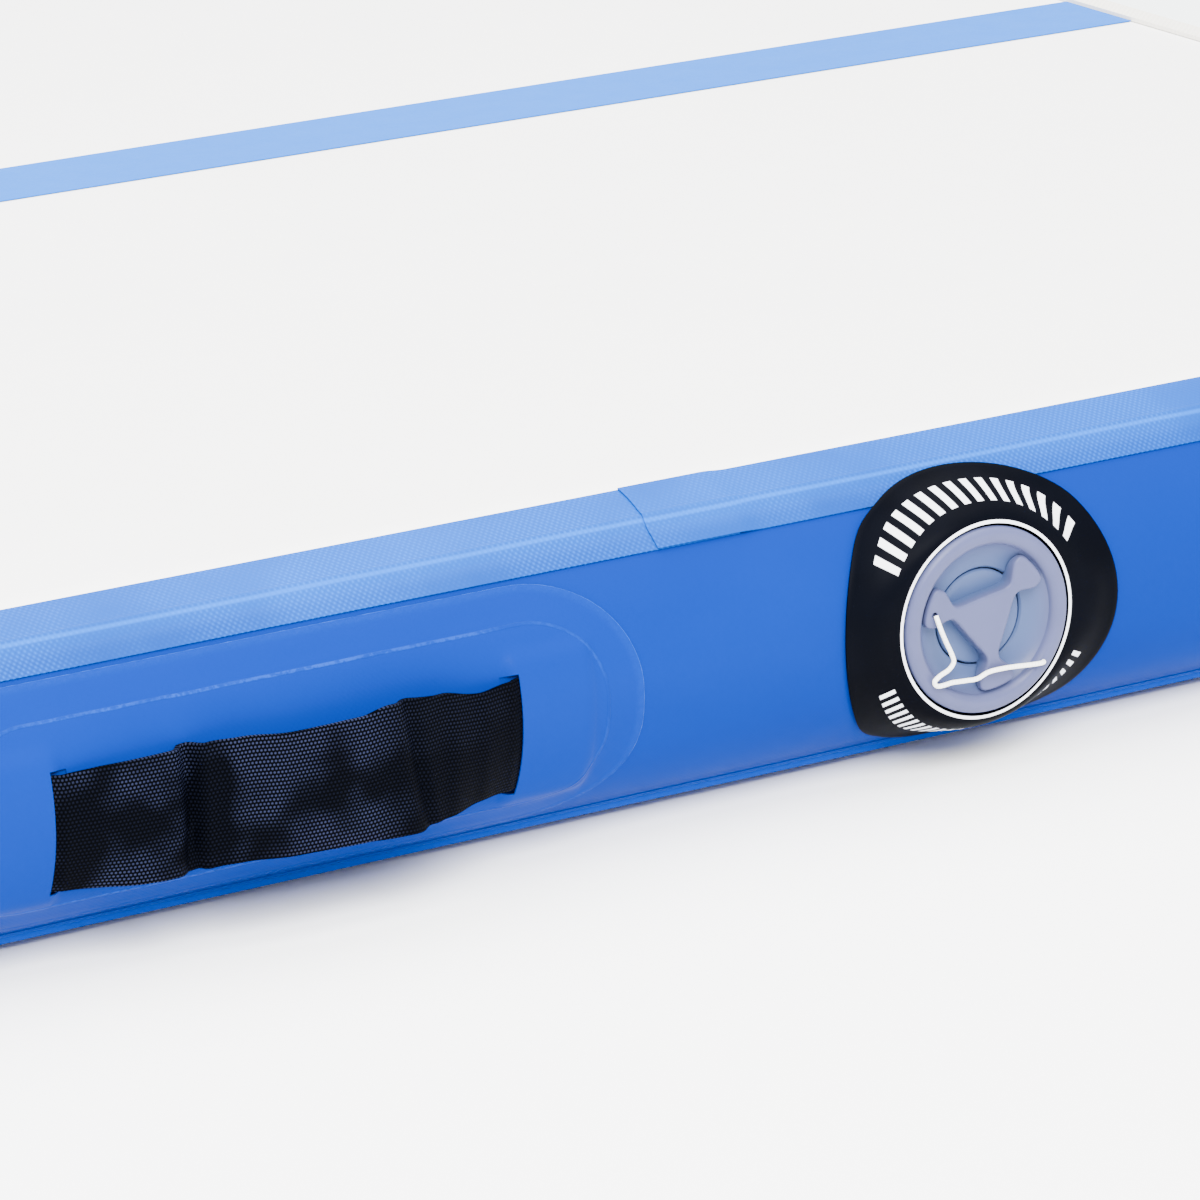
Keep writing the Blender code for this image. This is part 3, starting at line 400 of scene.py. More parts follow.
@dataclass(frozen=True)
class GluedPatch(WallCoat):
    """Wall fabric welded on as a patch: a crinkled margin with a painted highlight, and the outline of what is under
    it, traced with a painted highlight.
    """

    margin: float = 2.2 * MM
    outline: float = 12.4 * MM
    outline_width: float = 0.5 * MM
    wander: float = 1.2 * MM
    # colour of the painted highlights on the crinkled margin and on the outline
    glue_and_highlight: Colour = (0.005, 0.045, 0.30)

    def look(self, board: Board) -> Look:
        """Margin and outline over the fabric, both with painted highlights. Args: board: the material's board.
        Returns: the look.
        """
        look = super().look(board)
        inset, _ = board.cloth("inset")
        place = board.place()
        crinkle = board.cloud(place, 650.0, 3.0)
        edge = 1 - inset.rise(self.margin * 0.4, self.margin * 1.6)
        drift = board.cloud(place, 25.0)
        off = inset - self.outline - (drift - 0.5) * self.wander
        ridge = off.within(self.outline_width, self.outline_width)
        # painted highlight along the outline's ridge
        shine = ridge * (0.25 + crinkle.rise(0.4, 0.6) * 0.75) * drift.rise(0.38, 0.58)
        relief = look.relief + crinkle * edge * 0.3 + ridge * (0.12 + crinkle * 0.1)
        # painted highlights: on the outline's ridge, and on the crinkles of the margin
        colour = board.mix(shine * 0.7 + edge * crinkle * 0.2, look.colour, self.glue_and_highlight)
        return Look(colour, look.roughness, relief)


@dataclass(frozen=True)
class ScrimTape(Finish):
    """Seam tape: matt film over an open scrim whose threads cross on the slant, lightened by a painted sheen along
    its upper band and a painted highlight line over the welt.
    """

    pitch: float = 1.9 * MM
    slant: float = 0.8
    ridge: float = 93.9 * MM
    # heights of the painted sheen band near the top of the tape
    band: tuple[float, float] = (88.5 * MM, 93.5 * MM)
    # colour of the threads that show, and of the painted sheen and highlight
    light: Colour = (0.0, 0.098, 0.48)

    def look(self, board: Board) -> Look:
        """Slanting threads under a film, with a painted sheen band and a painted highlight line. Args: board: the
        material's board. Returns: the look.
        """
        along, across = board.cloth()
        turn = 2 * math.pi / self.pitch
        one = ((along + across * self.slant) * turn).sine() * 0.5 + 0.5
        two = ((along - across * self.slant) * turn).sine() * 0.5 + 0.5
        threads = one * 0.65 + two * 0.35
        place = board.place()
        patchy = board.cloud(place, 22.0, 3.0)
        knots = (one * two) ** 1.5
        shown = (threads * 0.35 + knots * 0.65) * patchy.rise(0.3, 0.62)
        streak = board.cloud(board.stretched(place, (9.0, 9.0, 9.0)), 1.0, 2.0)
        _, _, height = board.parts(place)
        # painted highlight line along the welt
        line = (height - self.ridge - (patchy - 0.5) * 0.5 * MM).within(0.5 * MM, 0.7 * MM)
        # painted sheen band, threads showing, streaks and painted highlight line, all towards the lighter colour
        share = height.rise(*self.band) * 0.24 + shown * 0.55 + streak.rise(0.45, 0.75) * 0.15 + line * 0.5
        colour = board.mix(share, self.colour, self.light)
        relief = threads * 0.05 + patchy * 0.35 + board.cloud(place, 1200.0) * 0.02
        return Look(colour, self.roughness - threads * 0.08 + (patchy - 0.5) * 0.12, relief)


@dataclass(frozen=True)
class Webbing(Finish):
    """Woven strap: rows of rounded yarn crossings, each row half a step on, with a painted navy shine on top that
    comes in patches and fades towards one end.
    """

    row: float = 1.15 * MM
    stitch: float = 1.2 * MM
    # where the painted glints fade out, along the strap
    glint_fade_span: tuple[float, float] = (118.0 * MM, 140.0 * MM)
    # colour of the painted glints on the yarn crowns
    shine: Colour = (0.0125, 0.0155, 0.036)

    def look(self, board: Board) -> Look:
        """Yarn crossings, with painted glints on their crowns. Args: board: the material's board. Returns: the look.
        """
        along, across = board.cloth()
        rows = across / self.row
        half = rows.whole() * 0.5
        cell = ((along / self.stitch + half).fraction() - 0.5) * 2
        lane = (rows.fraction() - 0.5) * 2
        crown = (1 - cell * cell) * (1 - lane * lane)
        rib = (along / self.stitch * math.pi * 2 + across / self.row * math.pi).sine() * 0.5 + 0.5
        place = board.place()
        # patches of painted glint, which fade out towards one end of the strap
        wear_and_glint = board.cloud(place, 38.0, 2.0).rise(0.42, 0.6) * (1 - along.rise(*self.glint_fade_span) * 0.85)
        height = crown * 0.75 + rib * 0.25
        # painted glints on the yarn crowns
        lit = crown.rise(0.42, 0.9) * (0.12 + wear_and_glint * 0.88)
        fuzz = board.cloud(place, 2500.0, 1.0)
        colour = board.mix(lit, self.colour, self.shine)
        return Look(colour, self.roughness - lit * 0.2 + (fuzz - 0.5) * 0.1, height * 0.22 + fuzz * 0.03)


@dataclass(frozen=True)
class MouldedPlastic(Finish):
    """Moulded plastic: satin, with a fine spark grain and a slight cloud in its colour."""

    def look(self, board: Board) -> Look:
        """Spark grain. Args: board: the material's board. Returns: the look."""
        place = board.place()
        cloud = board.cloud(place, 90.0, 3.0)
        spark = board.cloud(place, 2600.0, 1.0)
        rough = self.roughness + (cloud - 0.5) * 0.16 + (spark - 0.5) * 0.1
        return Look(self.tint(board, cloud.rise(0.35, 0.7), 0.93), rough, spark * 0.018 + cloud * 0.03)


@dataclass(frozen=True)
class ValvePlastic(MouldedPlastic):
    """Grey moulded plastic, with a painted bluish reflection where it lies deep in the valve."""

    # colour of the painted bluish reflection in the dish and bore
    deep: Colour = (0.036, 0.064, 0.150)
    depths: tuple[float, float] = (-503.2 * MM, -497.5 * MM)

    def look(self, board: Board) -> Look:
        """A painted bluish reflection that grows with depth. Args: board: the material's board. Returns: the look.
        """
        look = super().look(board)
        _, depth, _ = board.parts(board.place())
        # painted bluish reflection, growing deeper into the valve
        look.colour = board.mix(depth.rise(*self.depths) * 0.8, look.colour, self.deep)
        return look


@dataclass(frozen=True)
class PrintedRubber(Finish):
    """Black rubber with a printed white ring and two arcs of plain marks round the valve."""

    ink: Colour = (0.80, 0.82, 0.86)
    ring: tuple[float, float] = (30.4 * MM, 31.4 * MM)
    upper: tuple[float, float, float] = (36.4 * MM, 43.4 * MM, 7.5)
    lower: tuple[float, float, float] = (36.8 * MM, 41.4 * MM, 5.0)
    upper_reach: float = 60.0
    lower_reach: float = 65.0
    mark_share: float = 0.24

    def look(self, board: Board) -> Look:
        """Ring and marks. Args: board: the material's board. Returns: the look."""
        across, up = board.cloth()
        radius = (across * across + up * up) ** 0.5
        angle = up.step("ARCTAN2", across, up) * math.degrees(1)  # from straight up, to the right
        low, high = self.ring
        print_mask = (radius - (low + high) / 2).within((high - low) / 2, 0.15 * MM)
        flipped = 180 - abs(angle)
        for (inner, outer, pitch), reach, away in (
            (self.upper, self.upper_reach, abs(angle)),
            (self.lower, self.lower_reach, flipped),
        ):
            band = (radius - (inner + outer) / 2).within((outer - inner) / 2, 0.15 * MM)
            bars = ((angle / pitch).fraction() - 0.5).within(self.mark_share, 0.05)
            print_mask = print_mask + band * bars * (1 - away.rise(reach, reach + 0.3))
        place = board.place()
        cloud = board.cloud(place, 35.0, 3.0)
        wear_and_glint = board.cloud(place, 500.0, 2.0)
        ink = print_mask * (0.88 + wear_and_glint * 0.12)
        colour = board.mix(ink, self.tint(board, cloud.rise(0.3, 0.7), 0.7), self.ink)
        relief = print_mask * 0.05 + wear_and_glint * 0.02 + cloud * 0.12
        return Look(colour, self.roughness + (cloud - 0.5) * 0.12 - print_mask * 0.05, relief)


@dataclass(frozen=True)
class WovenCloth(Finish):
    """Plain woven cloth, its threads along and across the mat."""

    thread: float = 1.4 * MM

    def look(self, board: Board) -> Look:
        """Over and under threads. Args: board: the material's board. Returns: the look."""
        x, y, _ = board.parts(board.place())
        turn = math.pi / self.thread
        weave = (x * turn).sine() * (y * turn).sine()
        fuzz = board.cloud(board.place(), 900.0)
        return Look(self.tint(board, weave * 0.5 + 0.5, 0.82), None, weave * 0.12 + fuzz * 0.05)


@dataclass(frozen=True)
class TwistedCord(Finish):
    """A thin translucent cord, its strands laid on the slant."""

    lay: float = 1.1 * MM

    def look(self, board: Board) -> Look:
        """Slanting strands. Args: board: the material's board. Returns: the look."""
        along, round_ = board.cloth()
        strand = ((along / self.lay + round_) * math.pi * 2).sine() * 0.5 + 0.5
        return Look(self.tint(board, 1 - strand, 0.88), None, strand * 0.05)


class Finishes(Enum):
    """Every finish of the mat."""

    DECK = DeckCoat("deck_white_coat", "deck", (0.90, 0.895, 0.885), 0.42)
    BASE = DeckCoat("base_grey_coat", "base", (0.30, 0.33, 0.37), 0.6)
    CLOTH = WovenCloth("drop_stitch_cloth", "cloth", (0.78, 0.78, 0.75), 0.85)
    YARN = Finish("drop_stitch_yarn", "yarn", (0.85, 0.85, 0.82), 0.8)
    WALL = WallCoat("wall_blue_coat", "wall", (0.0, 0.0146, 0.144), 0.34, specular=0.008)
    PATCH = GluedPatch("patch_blue_coat", "patch", (0.0, 0.0152, 0.150), 0.30, specular=0.012)
    TAPE = ScrimTape("tape_blue_scrim", "tape", (0.0, 0.030, 0.19), 0.46, specular=0.03)
    LINE = DeckCoat("line_blue_print", "line", (0.0, 0.104, 0.45), 0.44, specular=0.04)
    TRIM = WovenCloth("end_trim_cream", "trim", (0.80, 0.77, 0.70), 0.75)
    PANEL = DeckCoat("end_panel_pale", "panel", (0.78, 0.83, 0.83), 0.5)
    WEBBING = Webbing("handle_webbing", "webbing", (0.0002, 0.0003, 0.0007), 0.55, specular=0.008)
    PRINT = PrintedRubber("valve_patch_print", "rubber", (0.0011, 0.0014, 0.0028), 0.42, specular=0.01)
    RUBBER = MouldedPlastic("seal_rubber", "rubber", (0.0025, 0.0027, 0.004), 0.6, specular=0.05)
    VALVE = ValvePlastic("valve_moulding", "valve", (0.056, 0.063, 0.134), 0.36, specular=0.14)
    STEEL = Finish("spring_steel", "steel", (0.60, 0.60, 0.62), 0.28, metallic=1.0)
    CORD = TwistedCord("tether_cord", "cord", (0.88, 0.88, 0.85), 0.5)
    GLUE = Finish("glue_line", "patch", (0.004, 0.045, 0.28), 0.35, specular=0.15)

    def on(self, obj: bpy.types.Object) -> bpy.types.Object:
        """Dresses a piece. Args: obj: the piece. Returns: the same piece."""
        obj.data.materials.clear()
        obj.data.materials.append(self.value.material())
        return obj


# ---- Meshes ----


def smooth(value: float) -> float:
    """A soft step from 0 at 0 to 1 at 1."""
    value = min(max(value, 0.0), 1.0)
    return value * value * (3 - 2 * value)


def share_of(value: float, low: float, high: float) -> float:
    """A soft step from 0 at low to 1 at high."""
    return smooth((value - low) / (high - low))


def in_mm(points: Iterable[tuple[float, float]]) -> list[tuple[float, float]]:
    """Points given in millimetres, in metres."""
    return [(u * MM, v * MM) for u, v in points]


def follow(stops: Sequence[tuple[float, float]], place: float) -> float:
    """A smooth value between listed ones.

    Args:
        stops: (place, value) pairs, in order of place.
        place: Where the value is wanted.

    Returns:
        The value there.
    """
    if place <= stops[0][0]:
        return stops[0][1]
    for (x0, y0), (x1, y1) in zip(stops, stops[1:]):
        if place <= x1:
            return y0 + (y1 - y0) * smooth((place - x0) / (x1 - x0))
    return stops[-1][1]


def evenly(low: float, high: float, step: float) -> list[float]:
    """Evenly spaced numbers from low to high, at most step apart."""
    count = max(1, math.ceil((high - low) / step - 1e-9))
    return [low + (high - low) * i / count for i in range(count + 1)]


def add_mesh(name: str, points: Sequence[Point], faces: Sequence[tuple[int, ...]]) -> bpy.types.Object:
    """Makes an object of points and faces, and links it to the scene.

    Args:
        name: The object's name.
        points: Its vertices.
        faces: Its faces, as numbers of vertices.

    Returns:
        The object.
    """
    mesh = bpy.data.meshes.new(name)
    mesh.from_pydata([tuple(p) for p in points], [], faces)
    obj = bpy.data.objects.new(name, mesh)
    bpy.context.scene.collection.objects.link(obj)
    return obj


def bake(obj: bpy.types.Object, sharp_deg: float = 40.0) -> bpy.types.Object:
    """Turns a piece's modifiers into plain mesh, smooth but for its sharp edges.

    Args:
        obj: The piece.
        sharp_deg: Edges that bend by more than this stay sharp.

    Returns:
        The same piece.
    """
    graph = bpy.context.evaluated_depsgraph_get()
    source = obj.evaluated_get(graph)
    mesh = bpy.data.meshes.new_from_object(source, preserve_all_data_layers=True, depsgraph=graph)
    obj.modifiers.clear()
    obj.data = mesh
    mesh.shade_smooth()
    mesh.set_sharp_from_angle(angle=math.radians(sharp_deg))
    return obj


def point_out(obj: bpy.types.Object) -> bpy.types.Object:
    """Turns a closed body's faces out if they point in. Args: obj: the body. Returns: the same body."""
    middle = sum((v.co for v in obj.data.vertices), Vector()) / len(obj.data.vertices)
    volume = 0.0
    for face in obj.data.polygons:
        corners = [obj.data.vertices[v].co - middle for v in face.vertices]
        for p, q in zip(corners[1:], corners[2:]):
            volume += corners[0].dot(p.cross(q))
    if volume < 0:
        obj.data.flip_normals()
    return obj


def cylinder(
    name: str, x: float, z: float, radius: float, ends: tuple[float, float], count: int
) -> bpy.types.Object:
    """A closed cylinder that lies along Y.

    Args:
        name: Its name.
        x: Its axis' place along the mat.
        z: Its axis' height.
        radius: Its radius.
        ends: Where it starts and ends.
        count: How many sides it has.

    Returns:
        The object.
    """
    points = []
    for y in ends:
        for i in range(count):
            a = 2 * math.pi * i / count
            points.append((x + radius * math.cos(a), y, z + radius * math.sin(a)))
    faces = [(i, (i + 1) % count, count + (i + 1) % count, count + i) for i in range(count)]
    faces += [tuple(range(count))[::-1], tuple(range(count, 2 * count))]
    return point_out(add_mesh(name, points, faces))


def cut(obj: bpy.types.Object, cutter: bpy.types.Object) -> bpy.types.Object:
    """Cuts one closed body out of another, and removes the cutter.

    Args:
        obj: The piece to cut.
        cutter: The body to take out of it.

    Returns:
        The cut piece.
    """
    step = obj.modifiers.new("cut", "BOOLEAN")
    step.operation = "DIFFERENCE"
    step.solver = "EXACT"
    step.object = cutter
    bake(obj)
    bpy.data.objects.remove(cutter)
    return obj


def sheet_of(
    name: str,
    grid: Grid,
    maps: dict[str, Pairs],
    thickness: float,
    closed: bool = False,
    left_out: Callable[[int, int], bool] | None = None,
) -> bpy.types.Object:
    """A sheet with thickness, laid over a grid of points.

    Args:
        name: The piece's name.
        grid: Points of its outer face, stations along it and rows across it.
        maps: UV maps by name, each with a pair for every point of the grid.
        thickness: How far it reaches inwards from the grid.
        closed: Whether the last station joins the first.
        left_out: Says of a span and a row whether its face is left out.

    Returns:
        The piece.
    """
    stations, rows = len(grid), len(grid[0])
    points = [p for line in grid for p in line]
    faces, corners = [], []
    for i in range(stations if closed else stations - 1):
        j = (i + 1) % stations
        for k in range(rows - 1):
            if left_out and left_out(i, k):
                continue
            faces.append((i * rows + k, j * rows + k, j * rows + k + 1, i * rows + k + 1))
            far = j if j else stations
            corners.append(((i, k), (far, k), (far, k + 1), (i, k + 1)))
    obj = add_mesh(name, points, faces)
    for label, values in maps.items():
        layer = obj.data.uv_layers.new(name=label)
        pairs = [values[i][k] for face in corners for i, k in face]
        layer.data.foreach_set("uv", [v for pair in pairs for v in pair])
    obj.data.validate()
    solid = obj.modifiers.new("thickness", "SOLIDIFY")
    solid.thickness = thickness
    solid.offset = -1.0
    return bake(obj)


def metres(grid: Grid, closed: bool = False) -> Pairs:
    """Lengths over a grid of points, for a pattern that follows a sheet.

    Args:
        grid: Points, stations along and rows across.
        closed: Whether a further pair is wanted where the sheet meets itself.

    Returns:
        For each point its length along, measured at the middle row, and across.
    """
    middle = len(grid[0]) // 2
    along, pairs = 0.0, []
    for i, line in enumerate(grid + ([grid[0]] if closed else [])):
        if i:
            along += (Vector(line[middle]) - Vector(grid[i - 1][middle])).length
        across = [0.0]
        for p, q in zip(line, line[1:]):
            across.append(across[-1] + (Vector(q) - Vector(p)).length)
        pairs.append([(along, v - across[middle]) for v in across])
    return pairs


# ---- Geometry Nodes ----


class Recipe:
    """A Geometry Nodes tree with named sizes, which leaves a plain mesh behind."""

    def __init__(self, name: str, sizes: dict[str, float | int]) -> None:
        """Starts a tree.

        Args:
            name: The tree's name.
            sizes: Its named inputs and what they are set to.
        """
        self.sizes = sizes
        self.tree = bpy.data.node_groups.new(name, "GeometryNodeTree")
        face = self.tree.interface
        face.new_socket("Geometry", in_out="INPUT", socket_type="NodeSocketGeometry")
        for key, value in sizes.items():
            kind = "NodeSocketInt" if isinstance(value, int) else "NodeSocketFloat"
            face.new_socket(key, in_out="INPUT", socket_type=kind)
        face.new_socket("Geometry", in_out="OUTPUT", socket_type="NodeSocketGeometry")
        self.board = Board(self.tree)
        self.given = self.tree.nodes.new("NodeGroupInput")

    def size(self, key: str) -> Sock:
        """One of the tree's inputs, by name."""
        return Sock(self.board, self.given.outputs[key])

    def sweep(self, curve: Sock, radius: str, sides: int, capped: bool = True) -> Sock:
        """A round tube along a curve.

        Args:
            curve: Its centre line.
            radius: The name of the input that holds its radius.
            sides: How many sides it has.
            capped: Whether its ends are closed.

        Returns:
            The tube.
        """
        inputs = {"Resolution": sides, "Radius": self.size(radius)}
        profile = self.board.add("GeometryNodeCurvePrimitiveCircle", None, inputs)
        inputs = {"Curve": curve, "Profile Curve": profile, "Fill Caps": capped}
        return self.board.add("GeometryNodeCurveToMesh", None, inputs)

    def close(self, geometry: Sock, finish: Finishes) -> None:
        """Ends the tree.

        Args:
            geometry: What it has made.
            finish: The finish of all of it.
        """
        plain = self.board.add("GeometryNodeRealizeInstances", None, {0: geometry})
        inputs = {"Geometry": plain, "Material": finish.value.material()}
        dressed = self.board.add("GeometryNodeSetMaterial", None, inputs)
        self.board.add("NodeGroupOutput", None, {0: dressed})

    def make(
        self,
        name: str,
        points: Sequence[Point],
        edges: Sequence[tuple[int, int]],
        place: Vector | None = None,
        turn: Matrix | None = None,
    ) -> bpy.types.Object:
        """Runs the tree on a host and keeps the result.

        Args:
            name: The piece's name.
            points: The host's vertices.
            edges: The host's edges, which a path runs along.
            place: Where the result's origin goes.
            turn: How the result is turned about its origin first.

        Returns:
            The piece.
        """
        host = bpy.data.meshes.new(name)
        host.from_pydata(list(points), list(edges), [])
        obj = bpy.data.objects.new(name, host)
        bpy.context.scene.collection.objects.link(obj)
        step = obj.modifiers.new("recipe", "NODES")
        step.node_group = self.tree
        for item in self.tree.interface.items_tree:
            if item.item_type == "SOCKET" and item.in_out == "INPUT" and item.name in self.sizes:
                step[item.identifier] = self.sizes[item.name]
        obj.update_tag()
        bake(obj, 50.0)
        move = Matrix.Translation(place or Vector()) @ (turn or Matrix.Identity(4))
        obj.data.transform(move)
        return obj


# ---- The inflated body ----


@dataclass(frozen=True)
class Station:
    """A place on the core line of the side wall, and the way out from it."""

    x: float
    y: float
    out_x: float
    out_y: float


@dataclass
class MatShape:
    """The mat's section and outline: everything glued to its skin is placed by this."""

    corner_radius: float = 0.1
    cover: float = 1.5 * MM
    seat_flat: float = 30.5 * MM
    seat_edge: float = 42.5 * MM
    seat_depth: float = 2.0 * MM
    seat_margin: float = 14.0 * MM
    seat_step: float = 2.5 * MM
    swell: float = 0.35 * MM
    swell_fade_deg: tuple[float, float] = (58.0, 72.0)
    swell_clear: float = 30.0 * MM
    swells_per_metre: float = 11.0
    swells_per_deg: float = 0.045
    metres_per_deg: float = 0.8 * MM
    corner_steps: int = 24
    half_length: float = field(init=False)
    half_width: float = field(init=False)
    thickness: float = field(init=False)
    valve_x: float = field(init=False)
    valve_z: float = field(init=False)

    def __post_init__(self) -> None:
        """Reads the overall sizes and the valve's place from the frame."""
        self.half_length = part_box("right_wall")[1].x
        self.half_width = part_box("back_wall")[1].y
        self.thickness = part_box("deck_sheet")[1].z
        low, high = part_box("valve_housing")
        self.valve_x = (low.x + high.x) / 2
        self.valve_z = (low.z + high.z) / 2

    @property
    def radius(self) -> float:
        """Radius of the wall's own surface."""
        return self.thickness / 2 - self.cover

    @property
    def middle(self) -> float:
        """Height of the core line."""
        return self.thickness / 2

    @property
    def core_y(self) -> float:
        """Distance of the core line from the mat's middle, across it."""
        return self.half_width - self.radius

    @property
    def straight_x(self) -> float:
        """Where the long sides end and the corners begin."""
        return self.half_length - self.corner_radius

    def side(self, xs: Iterable[float], side: int = -1) -> list[Station]:
        """Stations along a long side.

        Args:
            xs: Places along it.
            side: -1 for the front, 1 for the back.

        Returns:
            The stations, in the order of xs.
        """
        return [Station(x, side * self.core_y, 0.0, float(side)) for x in xs]

    def corner(self, start_deg: float) -> list[Station]:
        """Stations round a quarter turn.

        Args:
            start_deg: Direction out at its first station, anticlockwise seen from above.

        Returns:
            The stations.
        """
        made = []
        turn = self.corner_radius - self.radius
        mid = math.radians(start_deg + 45)
        centre_x = math.copysign(self.straight_x, math.cos(mid))
        centre_y = math.copysign(self.core_y - turn, math.sin(mid))
        for i in range(self.corner_steps + 1):
            a = math.radians(start_deg + 90 * i / self.corner_steps)
            out_x, out_y = math.cos(a), math.sin(a)
            made.append(Station(centre_x + turn * out_x, centre_y + turn * out_y, out_x, out_y))
        return made

    def end(self, sign: int, step: float = 0.03) -> list[Station]:
        """Stations round one end, from a long side to the other, anticlockwise."""
        first, last = (self.corner(a) for a in ((-90.0, 0.0) if sign > 0 else (90.0, 180.0)))
        x, reach = last[0].x, last[0].y
        between = evenly(-abs(reach), abs(reach), step)[1:-1]
        ys = between if sign > 0 else between[::-1]
        return first + [Station(x, y, float(sign), 0.0) for y in ys] + last

    def loop(self, step: float = 0.03) -> list[Station]:
        """The whole core line once round, anticlockwise from the front right corner."""
        across = evenly(-self.straight_x, self.straight_x, step)[1:-1]
        return self.end(1) + self.side(across[::-1], 1) + self.end(-1) + self.side(across)

    def near_valve(self, low: float, high: float, step: float = 0.02) -> list[float]:
        """Places along the front, close together across the valve's flat seat."""
        reach = self.seat_edge + self.seat_margin
        first, last = self.valve_x - reach, self.valve_x + reach
        seat = evenly(first, last, self.seat_step)[1:-1]
        return evenly(low, first, step) + seat + evenly(last, high, step)

    def ripple(self, x: float, y: float, degrees: float) -> float:
        """How far the skin swells at a place: little waves that fade out towards the flat faces."""
        first, last = self.swell_fade_deg
        fade = 1 - smooth((abs(degrees) - first) / (last - first))
        from_valve = math.hypot(x - self.valve_x, degrees * self.metres_per_deg)
        near = 1.0 if y > 0 else smooth((from_valve - self.seat_edge) / self.swell_clear)
        rate = self.swells_per_metre
        place = Vector((x * rate, y * rate, degrees * self.swells_per_deg))
        return self.swell * fade * near * noise.noise(place)

    def skin(self, station: Station, degrees: float, lift: float) -> Point:
        """A point of the section.

        Args:
            station: Where along the core line.
            degrees: Angle above level, about the core line.
            lift: Height over the wall's own surface.

        Returns:
            The point.
        """
        phi = math.radians(degrees)
        out = self.radius + lift + self.ripple(station.x, station.y, degrees)
        reach = out * math.cos(phi)
        x, y = station.x + station.out_x * reach, station.y + station.out_y * reach
        z = self.middle + out * math.sin(phi)
        if station.out_y == -1.0:
            away = math.hypot(x - self.valve_x, z - self.valve_z)
            share = 1 - smooth((away - self.seat_flat) / (self.seat_edge - self.seat_flat))
            y += (-self.half_width + self.seat_depth - lift - y) * share
        return (x, y, z)

    def laid(self, x: float, across: float, side: int, lift: float) -> Point:
        """A point laid on a long side.

        Args:
            x: Along the mat.
            across: Length round the wall, up from its middle.
            side: -1 for the front, 1 for the back.
            lift: Height over the wall's own surface.

        Returns:
            The point.
        """
        return self.skin(self.side([x], side)[0], math.degrees(across / self.radius), lift)


